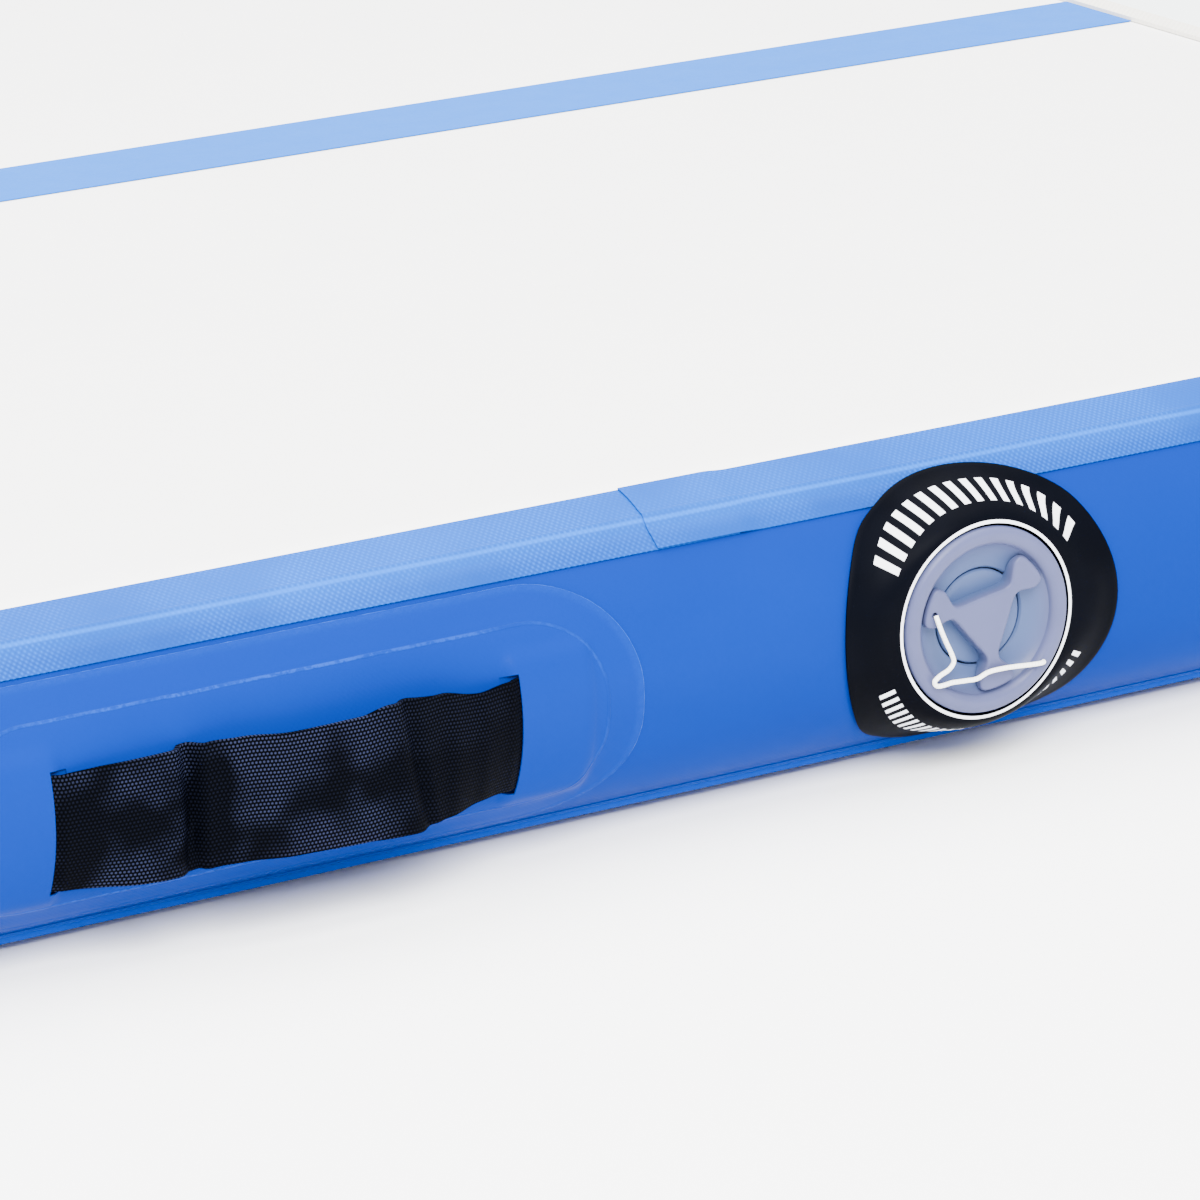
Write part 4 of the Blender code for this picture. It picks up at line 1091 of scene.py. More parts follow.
@dataclass
class InflatedBody:
    """The faces, the side wall and what is inside them."""

    shape: MatShape
    gap: float = 0.3 * MM
    sheet: float = 1.2 * MM
    top_edge_deg: float = 63.0
    base_edge_deg: float = 66.5
    wall_deg: float = 67.5
    row_deg: float = 3.0
    hole_radius: float = 25.1 * MM
    cutter_reach: float = 0.03
    holding: float = 6.0 * MM
    yarn_columns: int = 90
    yarn_rows: int = 14
    yarn_margin: float = 0.11
    yarn_lean: float = 0.03
    yarn_radius: float = 0.6 * MM

    def face(self, name: str, top: int, finish: Finishes) -> bpy.types.Object:
        """A flat face whose edge turns round the shoulder of the wall.

        Args:
            name: The CAD node that it stands for.
            top: 1 for the deck, -1 for the base.
            finish: Its finish.

        Returns:
            The piece.
        """
        stations = self.shape.loop()
        lift = self.shape.cover
        rings = []
        edge = self.top_edge_deg if top > 0 else self.base_edge_deg
        for degrees in evenly(edge, 90.0, self.row_deg):
            rings.append([self.shape.skin(s, top * degrees, lift) for s in stations])
        inwards, height = self.holding, rings[-1][0][2]
        flat = [(s.x - s.out_x * inwards, s.y - s.out_y * inwards, height) for s in stations]
        rings.append(flat)
        count = len(stations)
        faces = []
        for k in range(len(rings) - 1):
            for i in range(count):
                j = (i + 1) % count
                faces.append((k * count + i, k * count + j, (k + 1) * count + j, (k + 1) * count + i))
        faces.append(tuple((len(rings) - 1) * count + i for i in range(count)))
        if top < 0:
            faces = [f[::-1] for f in faces]
        obj = add_mesh(name + "_coated", [p for ring in rings for p in ring], faces)
        solid = obj.modifiers.new("thickness", "SOLIDIFY")
        solid.thickness = self.sheet
        solid.offset = -1.0
        bake(obj)
        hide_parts(name)
        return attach(finish.on(obj), "mat")

    def strip(self, name: str, stations: list[Station]) -> bpy.types.Object:
        """One strip of the side wall.

        Args:
            name: The CAD node that it stands for.
            stations: Where it runs.

        Returns:
            The piece.
        """
        rows = evenly(-self.wall_deg, self.wall_deg, self.row_deg)
        grid = [[self.shape.skin(s, a, 0.0) for a in rows] for s in stations]
        obj = sheet_of(name + "_coated", grid, {"cloth": metres(grid)}, self.sheet)
        if name == "front_wall":
            x, y, z = self.shape.valve_x, -self.shape.half_width, self.shape.valve_z
            ends = (y - self.cutter_reach, y + self.cutter_reach)
            cut(obj, cylinder("hole_cutter", x, z, self.hole_radius, ends, 96))
        nodes = [o.name for o in bpy.data.objects if o.name.startswith(name) and o is not obj]
        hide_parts(*nodes)
        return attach(Finishes.WALL.on(obj), "mat")

    def yarns(self) -> bpy.types.Object:
        """The drop-stitch yarns between the cloths, leaning both ways in turn.

        Returns:
            The piece.
        """
        low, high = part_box("drop_stitch_row_1")
        sizes = {
            "Length": 2 * (self.shape.straight_x - self.yarn_margin / 2),
            "Breadth": 2 * (self.shape.half_width - self.yarn_margin),
            "Columns": self.yarn_columns,
            "Rows": self.yarn_rows,
            "Height": high.z - low.z,
            "Lean": self.yarn_lean,
            "Yarn Radius": self.yarn_radius,
        }
        recipe = Recipe("drop_stitch_field", sizes)
        board = recipe.board
        grid = board.add(
            "GeometryNodeMeshGrid",
            None,
            {
                "Size X": recipe.size("Length"),
                "Size Y": recipe.size("Breadth"),
                "Vertices X": recipe.size("Columns"),
                "Vertices Y": recipe.size("Rows"),
            },
        )
        sets = []
        half = recipe.size("Height") / 2
        for sign in (-1, 1):
            lean = recipe.size("Lean") * (sign / 2)
            foot = board.add("ShaderNodeCombineXYZ", None, {0: -lean, 1: 0.0, 2: -half})
            head = board.add("ShaderNodeCombineXYZ", None, {0: lean, 1: 0.0, 2: half})
            line = board.add("GeometryNodeCurvePrimitiveLine", None, {"Start": foot, "End": head})
            yarn = recipe.sweep(line, "Yarn Radius", 5)
            sets.append(board.add("GeometryNodeInstanceOnPoints", None, {"Points": grid, "Instance": yarn}))
        both = board.add("GeometryNodeJoinGeometry", None, {0: sets[0]})
        board.tree.links.new(sets[1].socket, both.socket.node.inputs[0])
        recipe.close(both, Finishes.YARN)
        obj = recipe.make("drop_stitch_yarns", [], [], Vector((0, 0, self.shape.middle)))
        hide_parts(*(f"drop_stitch_row_{i}" for i in range(1, 7)))
        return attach(Finishes.YARN.on(obj), "mat")

    def build(self) -> list[bpy.types.Object]:
        """Makes the body's pieces.

        Returns:
            The pieces.
        """
        shape = self.shape
        end = shape.straight_x - self.gap / 2
        made = [
            self.face("deck_sheet", 1, Finishes.DECK),
            self.face("base_sheet", -1, Finishes.BASE),
            self.strip("front_wall", shape.side(shape.near_valve(-end, end))),
            self.strip("back_wall", shape.side(evenly(-end, end, 0.02)[::-1], 1)),
            self.strip("right_wall", shape.end(1)),
            self.strip("left_wall", shape.end(-1)),
            self.yarns(),
        ]
        for node in ("upper_cloth", "lower_cloth"):
            Finishes.CLOTH.on(bpy.data.objects[node])
        return made


# ---- Seam tapes ----


@dataclass
class SeamTapes:
    """The tapes over the seams between the faces and the wall, and over the wall's own joints."""

    shape: MatShape
    tape: float = 0.45 * MM
    gap: float = 0.2 * MM
    top_deg: tuple[float, float] = (48.4, 78.8)
    bottom_deg: tuple[float, float] = (-78.8, -59.5)
    step_deg: tuple[float, float] = (56.5, 62.4)
    base_step_deg: tuple[float, float] = (63.6, 66.2)
    welt: float = 0.30 * MM
    welt_deg: float = 0.9
    sunk: float = 0.35 * MM
    sunk_deg: float = 2.0
    joint_back: float = 0.105
    overlap: float = 29 * MM
    ramp: float = 9 * MM
    joint_deg: tuple[float, float] = (-57.5, 46.5)
    joint_reach: float = 0.02

    def height(self, degrees: float) -> float:
        """Height of a tape's inner face: up onto the face sheet's edge, with a welt over it at the top."""
        low, high = self.step_deg
        if degrees < 0:
            low, high = self.base_step_deg
            pressed = self.sunk * (1 - smooth((self.bottom_deg[1] - degrees) / self.sunk_deg))
            return self.gap + self.shape.cover * share_of(-degrees, low, high) - pressed
        climb = self.shape.cover * share_of(degrees, low, high)
        welt = self.welt * math.exp(-(((degrees - high) / self.welt_deg) ** 2))
        return self.gap + climb + welt

    def rows(self, low: float, high: float) -> list[float]:
        """Angles across a tape, close together where it climbs."""
        sign = 1 if high > 0 else -1
        first, last = sorted((abs(low), abs(high)))
        start, end = self.step_deg[0] - 1.5, self.step_deg[1] + 2.0
        if first < start:
            sizes = evenly(first, start, 1.8) + evenly(start, end, 0.4)[1:] + evenly(end, last, 1.8)[1:]
        else:
            end = self.base_step_deg[1] + 2.0
            sizes = evenly(first, end, 0.4) + evenly(end, last, 1.8)[1:]
        return sorted(sign * a for a in sizes)

    def lay(
        self, name: str, placed: list[tuple[Station, float]], span: tuple[float, float], closed: bool
    ) -> bpy.types.Object:
        """Lays one tape.

        Args:
            name: The CAD node that it stands for.
            placed: Stations and the extra lift at each.
            span: Its edges, as angles of the section.
            closed: Whether it meets itself end to end.

        Returns:
            The piece.
        """
        rows = self.rows(*span)
        top = self.tape
        grid = [[self.shape.skin(s, a, self.height(a) + more + top) for a in rows] for s, more in placed]
        obj = sheet_of(name + "_scrim", grid, {"cloth": metres(grid, closed)}, self.tape, closed)
        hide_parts(name)
        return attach((Finishes.TAPE if span[1] > 0 else Finishes.WALL).on(obj), "mat")

    def lapped(self) -> list[tuple[Station, float]]:
        """Stations once round from the joint near the valve and past it, with the lift of the end on top."""
        shape = self.shape
        start = shape.valve_x - self.joint_back
        end = start + self.overlap
        on_top = self.tape + self.gap
        first = evenly(start, end, 0.004) + evenly(end, end + self.ramp, 0.001)[1:]
        rest = [x for x in shape.near_valve(first[-1], shape.straight_x, 0.015) if x > first[-1]]
        placed = []
        for station in shape.side(first + rest[:-1]):
            placed.append((station, on_top * (1 - smooth((station.x - end) / self.ramp))))
        others = shape.end(1) + shape.side(evenly(-shape.straight_x, shape.straight_x, 0.02)[-2:0:-1], 1)
        others += shape.end(-1) + shape.side(evenly(-shape.straight_x, end, 0.015)[1:])
        return placed + [(s, 0.0) for s in others]

    def joint_tape(self, name: str, sign: int, side: int) -> bpy.types.Object:
        """The tape over one joint of the wall.

        Args:
            name: The CAD node that it stands for.
            sign: 1 for the right end, -1 for the left.
            side: -1 for the front, 1 for the back.

        Returns:
            The piece.
        """
        shape = self.shape
        start = {(1, -1): -90.0, (1, 1): 0.0, (-1, 1): 90.0, (-1, -1): 180.0}[(sign, side)]
        corner = shape.corner(start)
        steps = round(shape.corner_steps / 5)
        inside = evenly(shape.straight_x - self.joint_reach, shape.straight_x, 0.01)[:-1]
        if sign * side < 0:
            stations = shape.side([sign * x for x in inside], side) + corner[: steps + 1]
        else:
            stations = corner[-1 - steps :] + shape.side([sign * x for x in inside[::-1]], side)
        rows = evenly(*self.joint_deg, 3.0)
        grid = [[shape.skin(s, a, self.gap + self.tape) for a in rows] for s in stations]
        obj = sheet_of(name + "_coated", grid, {"cloth": metres(grid)}, self.tape)
        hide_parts(name)
        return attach(Finishes.WALL.on(obj), "mat")

    def build(self) -> list[bpy.types.Object]:
        """Makes the tapes.

        Returns:
            The pieces.
        """
        made = [
            self.lay("top_seam_tape", self.lapped(), self.top_deg, False),
            self.lay("bottom_seam_tape", [(s, 0.0) for s in self.shape.loop()], self.bottom_deg, True),
        ]
        for side_name, side in (("front", -1), ("back", 1)):
            for end_name, sign in (("left", -1), ("right", 1)):
                made.append(self.joint_tape(f"joint_tape_{side_name}_{end_name}", sign, side))
        return made


# ---- Carry handles ----


@dataclass(frozen=True)
class Fold:
    """A crease across a strap, in millimetres: where it is, how it leans, how deep and how wide it is."""

    place: float
    lean: float
    depth: float
    width: float

    def at(self, mm: float, share: float) -> float:
        """How far it moves the strap outwards. Args: mm: along. share: across. Returns: the move."""
        return self.depth * math.exp(-(((mm - self.place - self.lean * (share - 0.5)) / self.width) ** 2))


@dataclass
class CarryHandle:
    """One carry handle: a webbing strap through two slits of a rounded patch."""

    shape: MatShape
    side_name: str
    end_name: str
    patch_half: float = 0.118
    patch_deg: tuple[float, float] = (-53.0, 46.0)
    corner: float = 38 * MM
    sheet: float = 0.4 * MM
    gap: float = 0.2 * MM
    backing_inset: float = 13.2 * MM
    slit: tuple[float, float] = (70.0 * MM, 75.7 * MM)
    slit_ends: tuple[float, float] = (-18.9 * MM, 17.8 * MM)
    strap_sheet: float = 1.3 * MM
    tail_end: float = 97 * MM
    glue_radius: float = 0.24 * MM
    backing_clear: float = 0.05 * MM
    backing_ramp: tuple[float, float] = (-5.5 * MM, 1.0 * MM)
    tail_lift: float = 1.6 * MM
    tail_span: tuple[float, float, float, float] = (71 * MM, 75 * MM, 98 * MM, 103 * MM)
    tail_height: tuple[float, float] = (20 * MM, 26 * MM)
    pucker: float = 0.25 * MM
    pucker_edge: tuple[float, float] = (4 * MM, 10 * MM)
    crease: Fold = Fold(36.5, -7.0, -1.6, 1.8)
    fold_beside: Fold = Fold(31.5, -7.0, 0.8, 3.5)
    gather: Fold = Fold(-33.5, -2.0, -2.6, 2.2)
    slack: float = 1.1
    cup: float = 0.9
    lower_edge: tuple[tuple[float, float], ...] = (
        (-76, -18.6), (-50, -19.4), (-37, -19.6), (-20, -17.6), (-2, -18.4), (18, -18.8),
        (28, -19.3), (35, -19.2), (46, -17.9), (61, -17.2), (76, -18.0),
    )  # fmt: skip
    upper_edge: tuple[tuple[float, float], ...] = (
        (-76, 17.4), (-60, 18.3), (-37, 18.9), (-20, 20.2), (-2, 18.8), (18, 19.4),
        (28, 21.4), (35, 21.3), (46, 20.2), (61, 16.9), (76, 17.4),
    )  # fmt: skip
    stand_off: tuple[tuple[float, float], ...] = (
        (-82, 1.6), (-76, 2.2), (-72, 3.9), (-62, 5.2), (-50, 5.4), (-39, 5.6), (-33.5, 3.6), (-29, 6.8), (-20, 9.8),
        (-5, 11.2), (15, 11.8), (30, 11.8), (38, 11.2), (48, 9.4), (60, 6.6), (72, 4.0), (76, 2.2), (82, 1.6),
    )  # fmt: skip
    side: int = field(init=False)
    centre: float = field(init=False)
    strap_z: float = field(init=False)

    def __post_init__(self) -> None:
        """Reads the handle's place from its strap in the frame."""
        low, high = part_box(self.node("strap"))
        self.side = 1 if high.y > 0 else -1
        self.centre = (low.x + high.x) / 2
        self.strap_z = (low.z + high.z) / 2

    def node(self, part: str) -> str:
        """The CAD node of one part of this handle."""
        return f"handle_{self.side_name}_{self.end_name}_{part}"

    @property
    def span(self) -> tuple[float, float]:
        """The patch's lower and upper edge, as lengths round the wall."""
        low, high = (math.radians(a) * self.shape.radius for a in self.patch_deg)
        return low, high

    def inset(self, x: float, across: float) -> float:
        """How far a point of the patch lies inside its rounded outline."""
        low, high = self.span
        dx = abs(x) - (self.patch_half - self.corner)
        dv = abs(across - (low + high) / 2) - ((high - low) / 2 - self.corner)
        outside = math.hypot(max(dx, 0.0), max(dv, 0.0))
        return self.corner - outside - min(max(dx, dv), 0.0)

    def patch_lift(self, x: float, across: float) -> float:
        """Height of the patch's outer face: it climbs onto the backing, and again over the strap's tails."""
        inside = self.inset(x, across)
        backing = self.sheet + self.backing_clear
        backing *= share_of(inside - self.backing_inset, *self.backing_ramp)
        z = self.shape.middle + self.shape.radius * math.sin(across / self.shape.radius)
        near, full, fading, far = self.tail_span
        tail = share_of(abs(x), near, full) * (1 - share_of(abs(x), fading, far))
        tail *= self.tail_lift * (1 - share_of(abs(z - self.strap_z), *self.tail_height))
        pucker = self.pucker * noise.noise(Vector(((self.centre + x) * 30, across * 40, self.side * 3.0)))
        return self.gap + self.sheet + backing + tail + pucker * share_of(inside, *self.pucker_edge)

    def rounded_sheet(
        self, name: str, margin: float, lift: Callable[[float, float], float], finish: Finishes, slits: bool
    ) -> bpy.types.Object:
        """A sheet with the patch's rounded outline.

        Args:
            name: The sheet's part of the handle.
            margin: How far inside the patch's outline its own outline runs.
            lift: Height of its outer face at a place.
            finish: Its finish.
            slits: Whether the strap's slits are cut in it.

        Returns:
            The piece.
        """
        low, high = (v + s * margin for v, s in zip(self.span, (1, -1)))
        round_ = self.corner - margin
        near, far = self.slit
        straight = self.patch_half - self.corner
        half_xs = evenly(0.0, near, 4 * MM) + evenly(near, far, 1.9 * MM)[1:]
        half_xs += evenly(far, straight, 2 * MM)[1:]
        half_xs += [straight + round_ * math.sin(math.radians(a)) for a in evenly(0.0, 90.0, 3.0)[1:]]
        xs = [-x for x in half_xs[:0:-1]] + half_xs
        slit_z = [self.strap_z + z for z in self.slit_ends]
        cuts = [self.shape.radius * math.asin((z - self.shape.middle) / self.shape.radius) for z in slit_z]
        marks = [(v - low) / (high - low) for v in cuts]
        runs = [evenly(*ends, 0.022) for ends in ((0.0, marks[0]), (marks[0], marks[1]), (marks[1], 1.0))]
        shares = runs[0] + runs[1][1:] + runs[2][1:]
        bottom = len(runs[0]) - 1
        top = bottom + len(runs[1]) - 1
        grid, cloth, inset = [], [], []
        for x in xs:
            bend = max(abs(x) - straight, 0.0)
            shrink = round_ - math.sqrt(max(round_**2 - bend**2, 0.0))
            first, last = low + shrink, high - shrink
            line = [first + (last - first) * s for s in shares]
            grid.append([self.shape.laid(self.centre + x, v, self.side, lift(x, v)) for v in line])
            cloth.append([(self.centre + x, v) for v in line])
            inset.append([(self.inset(x, v), 0.0) for v in line])
        if self.side > 0:
            grid, cloth, inset = grid[::-1], cloth[::-1], inset[::-1]

        def in_slit(i: int, k: int) -> bool:
            """Whether a face of the grid lies in a slit. Args: i: span. k: row. Returns: the answer."""
            middle = abs(xs[i] + xs[i + 1]) / 2
            return slits and near < middle < far and bottom <= k < top

        obj = sheet_of(
            f"{self.node(name)}_coated", grid, {"cloth": cloth, "inset": inset}, self.sheet, left_out=in_slit
        )
        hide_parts(self.node(name))
        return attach(finish.on(obj), "mat")

    def strap_point(self, x: float, share: float) -> Point:
        """A point of the strap's outer face.

        Args:
            x: Along the strap, from its middle.
            share: Across it, from 0 at its lower edge to 1 at its upper edge.

        Returns:
            The point.
        """
        shape = self.shape
        mm = x / MM
        low, high = follow(self.lower_edge, mm) * MM, follow(self.upper_edge, mm) * MM
        z = self.strap_z + low + (high - low) * share
        from_middle = share * 2 - 1
        folds = self.crease.at(mm, share) + self.fold_beside.at(mm, share)
        folds += self.gather.at(mm, share) * (0.7 + 0.3 * abs(from_middle))
        wave = noise.noise(Vector((mm * 0.045, share * 1.6, 4.0 + self.centre)))
        folds += self.slack * wave * share_of(-abs(mm), -70, -45)
        folds -= self.cup * from_middle**2 * share_of(-abs(mm), -60, -30)
        lift = (follow(self.stand_off, mm) + folds) * MM
        flat = share_of(-abs(mm), -68, -42)
        radius = shape.radius + max(lift, self.strap_sheet + 0.4 * MM)
        phi = math.asin((z - shape.middle) / radius)
        reach = radius * (math.cos(phi) * (1 - flat) + flat)
        return (self.centre + x, self.side * (shape.core_y + reach), z)

    def strap(self) -> bpy.types.Object:
        """The webbing strap, slack and creased between its slits.

        Returns:
            The piece.
        """
        xs = evenly(-self.tail_end, self.tail_end, 0.0011)
        shares = evenly(0.0, 1.0, 1 / 26)
        grid = [[self.strap_point(x, s) for s in shares] for x in xs]
        if self.side > 0:
            grid = grid[::-1]
        obj = sheet_of(self.node("strap") + "_webbing", grid, {"cloth": metres(grid)}, self.strap_sheet)
        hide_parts(self.node("strap"))
        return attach(Finishes.WEBBING.on(obj), "mat")

    def glue_line(self) -> bpy.types.Object:
        """The thin crinkled line of glue squeezed out along the patch's edge.

        Returns:
            The piece.
        """
        low, high = self.span
        path = []
        for sign_x, sign_v, start in ((1, 1, 90.0), (1, -1, 0.0), (-1, -1, -90.0), (-1, 1, -180.0)):
            for a in evenly(0.0, 90.0, 4.0):
                turn = math.radians(start - a)
                x = sign_x * (self.patch_half - self.corner) + self.corner * math.cos(turn)
                v = (high if sign_v > 0 else low) - sign_v * self.corner + self.corner * math.sin(turn)
                path.append((x, v))
        dense = []
        for (x0, v0), (x1, v1) in zip(path, path[1:] + path[:1]):
            for s in evenly(0.0, 1.0, 0.004 / max(math.hypot(x1 - x0, v1 - v0), 0.004))[:-1]:
                dense.append((x0 + (x1 - x0) * s, v0 + (v1 - v0) * s))
        lift = self.gap + self.glue_radius * 0.6
        points = [self.shape.laid(self.centre + x, v, self.side, lift) for x, v in dense]
        edges = [(i, (i + 1) % len(points)) for i in range(len(points))]
        sizes = {
            "Bead Radius": self.glue_radius,
            "Spacing": 1.3 * MM,
            "Crinkle": 0.35 * MM,
            "Roughness Scale": 420.0,
        }
        recipe = Recipe(f"glue_bead_{self.side_name}_{self.end_name}", sizes)
        board = recipe.board
        curve = board.add("GeometryNodeMeshToCurve", None, {"Mesh": recipe.size("Geometry")})
        inputs = {"Curve": curve, "Length": recipe.size("Spacing")}
        spaced = board.add("GeometryNodeResampleCurve", {"mode": "LENGTH"}, inputs)
        place = board.add("GeometryNodeInputPosition")
        inputs = {"Vector": place, "Scale": recipe.size("Roughness Scale")}
        drift = board.add("ShaderNodeTexNoise", None, inputs, output="Color")
        inputs = {0: drift, 1: (0.5, 0.5, 0.5)}
        centred = board.add("ShaderNodeVectorMath", {"operation": "SUBTRACT"}, inputs)
        inputs = {0: centred, "Scale": recipe.size("Crinkle")}
        shift = board.add("ShaderNodeVectorMath", {"operation": "SCALE"}, inputs)
        moved = board.add("GeometryNodeSetPosition", None, {"Geometry": spaced, "Offset": shift})
        recipe.close(recipe.sweep(moved, "Bead Radius", 5, False), Finishes.GLUE)
        obj = recipe.make(self.node("glue_line"), points, edges)
        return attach(Finishes.GLUE.on(obj), "mat")

    def build(self) -> list[bpy.types.Object]:
        """Makes the handle's pieces.

        Returns:
            The pieces.
        """
        under = self.gap + self.sheet
        return [
            self.rounded_sheet("backing", self.backing_inset, lambda x, v: under, Finishes.WALL, False),
            self.rounded_sheet("patch", 0.0, self.patch_lift, Finishes.PATCH, True),
            self.strap(),
            self.glue_line(),
        ]


# ---- Valve ----


@dataclass
class InflationValve:
    """The valve: a printed rubber patch, a moulded housing with its cap, and the poppet inside."""

    shape: MatShape
    patch_face: float = -0.4995
    patch_radius: float = 49.8 * MM
    patch_sheet: float = 1.2 * MM
    patch_gap: float = 0.3 * MM
    patch_rim: float = 0.25 * MM
    rim_width: float = 0.6 * MM
    over_tape_deg: tuple[float, float] = (40.0, 49.0)
    flat_half: tuple[float, float] = (27 * MM, 42 * MM)
    collar: float = 3.2 * MM
    collar_wall: float = 0.8 * MM
    collar_back: tuple[float, float] = (31 * MM, 49 * MM)
    hole_radius: float = 25.1 * MM
    tape_top: float = 0.9 * MM
    flange_radius: float = 29.5 * MM
    flange_proud: float = 4.7 * MM
    bowl_radius: float = 23.6 * MM
    bore_radius: float = 15.4 * MM
    bore_top: float = 1.6 * MM
    bowl_lip: float = -1.8 * MM
    knob_top: float = -3.8 * MM
    knob_fillet: float = 0.9 * MM
    push: float = 4.0 * MM
    arm_deg: tuple[float, ...] = (160.0, 40.0, -80.0)
    arm_widths: tuple[float, float, float] = (2.15, 4.0, 4.3)
    flare_span: tuple[float, float] = (12.6, 19.2)
    root_span: tuple[float, float] = (2.8, 13.0)
    tether_hole: tuple[float, float] = (-19.2 * MM, 5.1 * MM)
    drill_radius: float = 1.0 * MM
    ring_centre: tuple[float, float] = (13.75 * MM, 10.7 * MM)
    ring_radius: float = 1.2 * MM
    ring_steps: int = 16
    coil_wire: float = 0.4 * MM
    coil_turns: float = 4.5
    steps: int = 112
    # Profiles, as radius and depth in millimetres.
    throat: Outline = (
        (12.9, 14.0), (12.6, 14.3), (12.6, 27.8), (10.5, 27.8), (10.5, 29.0),
        (17.2, 29.0), (17.2, 7.4), (22.8, 1.6), (22.8, 12.0), (24.6, 12.0),
    )  # fmt: skip
    plug_back: Outline = ((12.2, 9.2), (12.2, 12.2), (14.0, 12.2), (14.0, 12.8), (13.7, 13.0), (0.0, 13.0))
    button: Outline = (
        (0.0, 14.0), (4.0, 14.0), (4.6, 14.1), (5.0, 14.5), (5.0, 15.5), (2.0, 15.5),
        (2.0, 30.8), (14.5, 30.8), (14.5, 32.9), (13.9, 33.5), (0.0, 33.5),
    )  # fmt: skip

    def at(self, right: float, up: float, depth: float) -> Point:
        """A point by its offsets from the valve's axis, and its depth behind the patch's face."""
        return (self.shape.valve_x + right, self.patch_face + depth, self.shape.valve_z + up)

    def turned(
        self, name: str, profile: Sequence[tuple[float, float]], sharp: float = 32.0
    ) -> bpy.types.Object:
        """A profile turned about the valve's axis.

        Args:
            name: The object's name.
            profile: (radius, depth) points, closed on itself or with both ends on the axis.
            sharp: Edges that bend by more degrees than this stay sharp.

        Returns:
            The object, its faces pointing out.
        """
        solid = profile[0][0] == 0.0
        ring = profile[1:-1] if solid else profile
        count = len(ring)
        points: list[Point] = []
        faces: list[tuple[int, ...]] = []
        for i in range(self.steps):
            a = 2 * math.pi * i / self.steps
            points += [self.at(r * math.cos(a), r * math.sin(a), d) for r, d in ring]
            left, right = i * count, (i + 1) % self.steps * count
            for k in range(count - 1 if solid else count):
                m = (k + 1) % count
                faces.append((left + k, left + m, right + m, right + k))
            if solid:
                poles = self.steps * count
                faces += [(poles, left, right), (poles + 1, right + count - 1, left + count - 1)]
        if solid:
            points += [self.at(0.0, 0.0, profile[0][1]), self.at(0.0, 0.0, profile[-1][1])]
        obj = add_mesh(name, points, faces)
        point_out(obj)
        return bake(obj, sharp)

    def bowl(self, radius: float) -> float:
        """Depth of the dish at a radius."""
        share = (radius - self.bore_radius) / (self.bowl_radius - self.bore_radius)
        return self.bore_top + (self.bowl_lip - self.bore_top) * share

    def stand_in(self, obj: bpy.types.Object, node: str, body: str, finish: Finishes) -> bpy.types.Object:
        """Dresses a piece, puts it on its body, and lets it stand for its CAD node.

        Args:
            obj: The piece.
            node: The CAD node.
            body: The body that it rides on.
            finish: Its finish.

        Returns:
            The piece.
        """
        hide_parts(node)
        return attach(finish.on(obj), body)

    def rubber_patch(self) -> bpy.types.Object:
        """The round rubber patch, over the wall and the lower edge of the seam tape.

        Returns:
            The piece.
        """
        lip = self.flange_radius + 0.1 * MM
        crest = lip + self.collar_wall
        radii = [self.hole_radius, 28 * MM] + evenly(lip, crest, 0.2 * MM)
        radii += evenly(crest, self.patch_radius - 0.5 * MM, 1.4 * MM)[1:]
        radii += [self.patch_radius - 0.15 * MM, self.patch_radius]
        grid, cloth = [], []
        for i in range(self.steps + 1):
            a = -2 * math.pi * i / self.steps
            line, pairs = [], []
            for r in radii:
                right, up = r * math.cos(a), r * math.sin(a)
                over = share_of(math.degrees(up / self.shape.radius), *self.over_tape_deg) * self.tape_top
                rim = self.patch_rim * share_of(r, self.patch_radius - self.rim_width, self.patch_radius)
                dome = share_of(r, lip, crest) * (1 - share_of(r, *self.collar_back))
                lift = self.patch_gap + self.patch_sheet + over - rim + self.collar * dome
                outer = self.shape.radius + lift
                curved = outer * math.sin(up / self.shape.radius)
                flat = up + (curved - up) * share_of(abs(up), *self.flat_half)
                bend = math.degrees(math.asin(flat / outer))
                station = self.shape.side([self.shape.valve_x + right])[0]
                line.append(self.shape.skin(station, bend, lift))
                pairs.append((right, up))
            grid.append(line)
            cloth.append(pairs)
        obj = sheet_of("valve_patch_printed", grid[:-1], {"cloth": cloth}, self.patch_sheet, closed=True)
        return self.stand_in(obj, "valve_patch", "mat", Finishes.PRINT)

    def arc(self, radius: float, depth: float, across: float, along: float, start: float, end: float) -> list:
        """Points of a profile on a quarter ellipse.

        Args:
            radius: Its centre's radius.
            depth: Its centre's depth.
            across: Its half width.
            along: Its half height.
            start: First angle in degrees, 0 outwards and 90 to the front.
            end: Last angle.

        Returns:
            (radius, depth) points.
        """
        angles = [math.radians(start + (end - start) * i / 8) for i in range(9)]
        return [(radius + across * math.cos(a), depth - along * math.sin(a)) for a in angles]

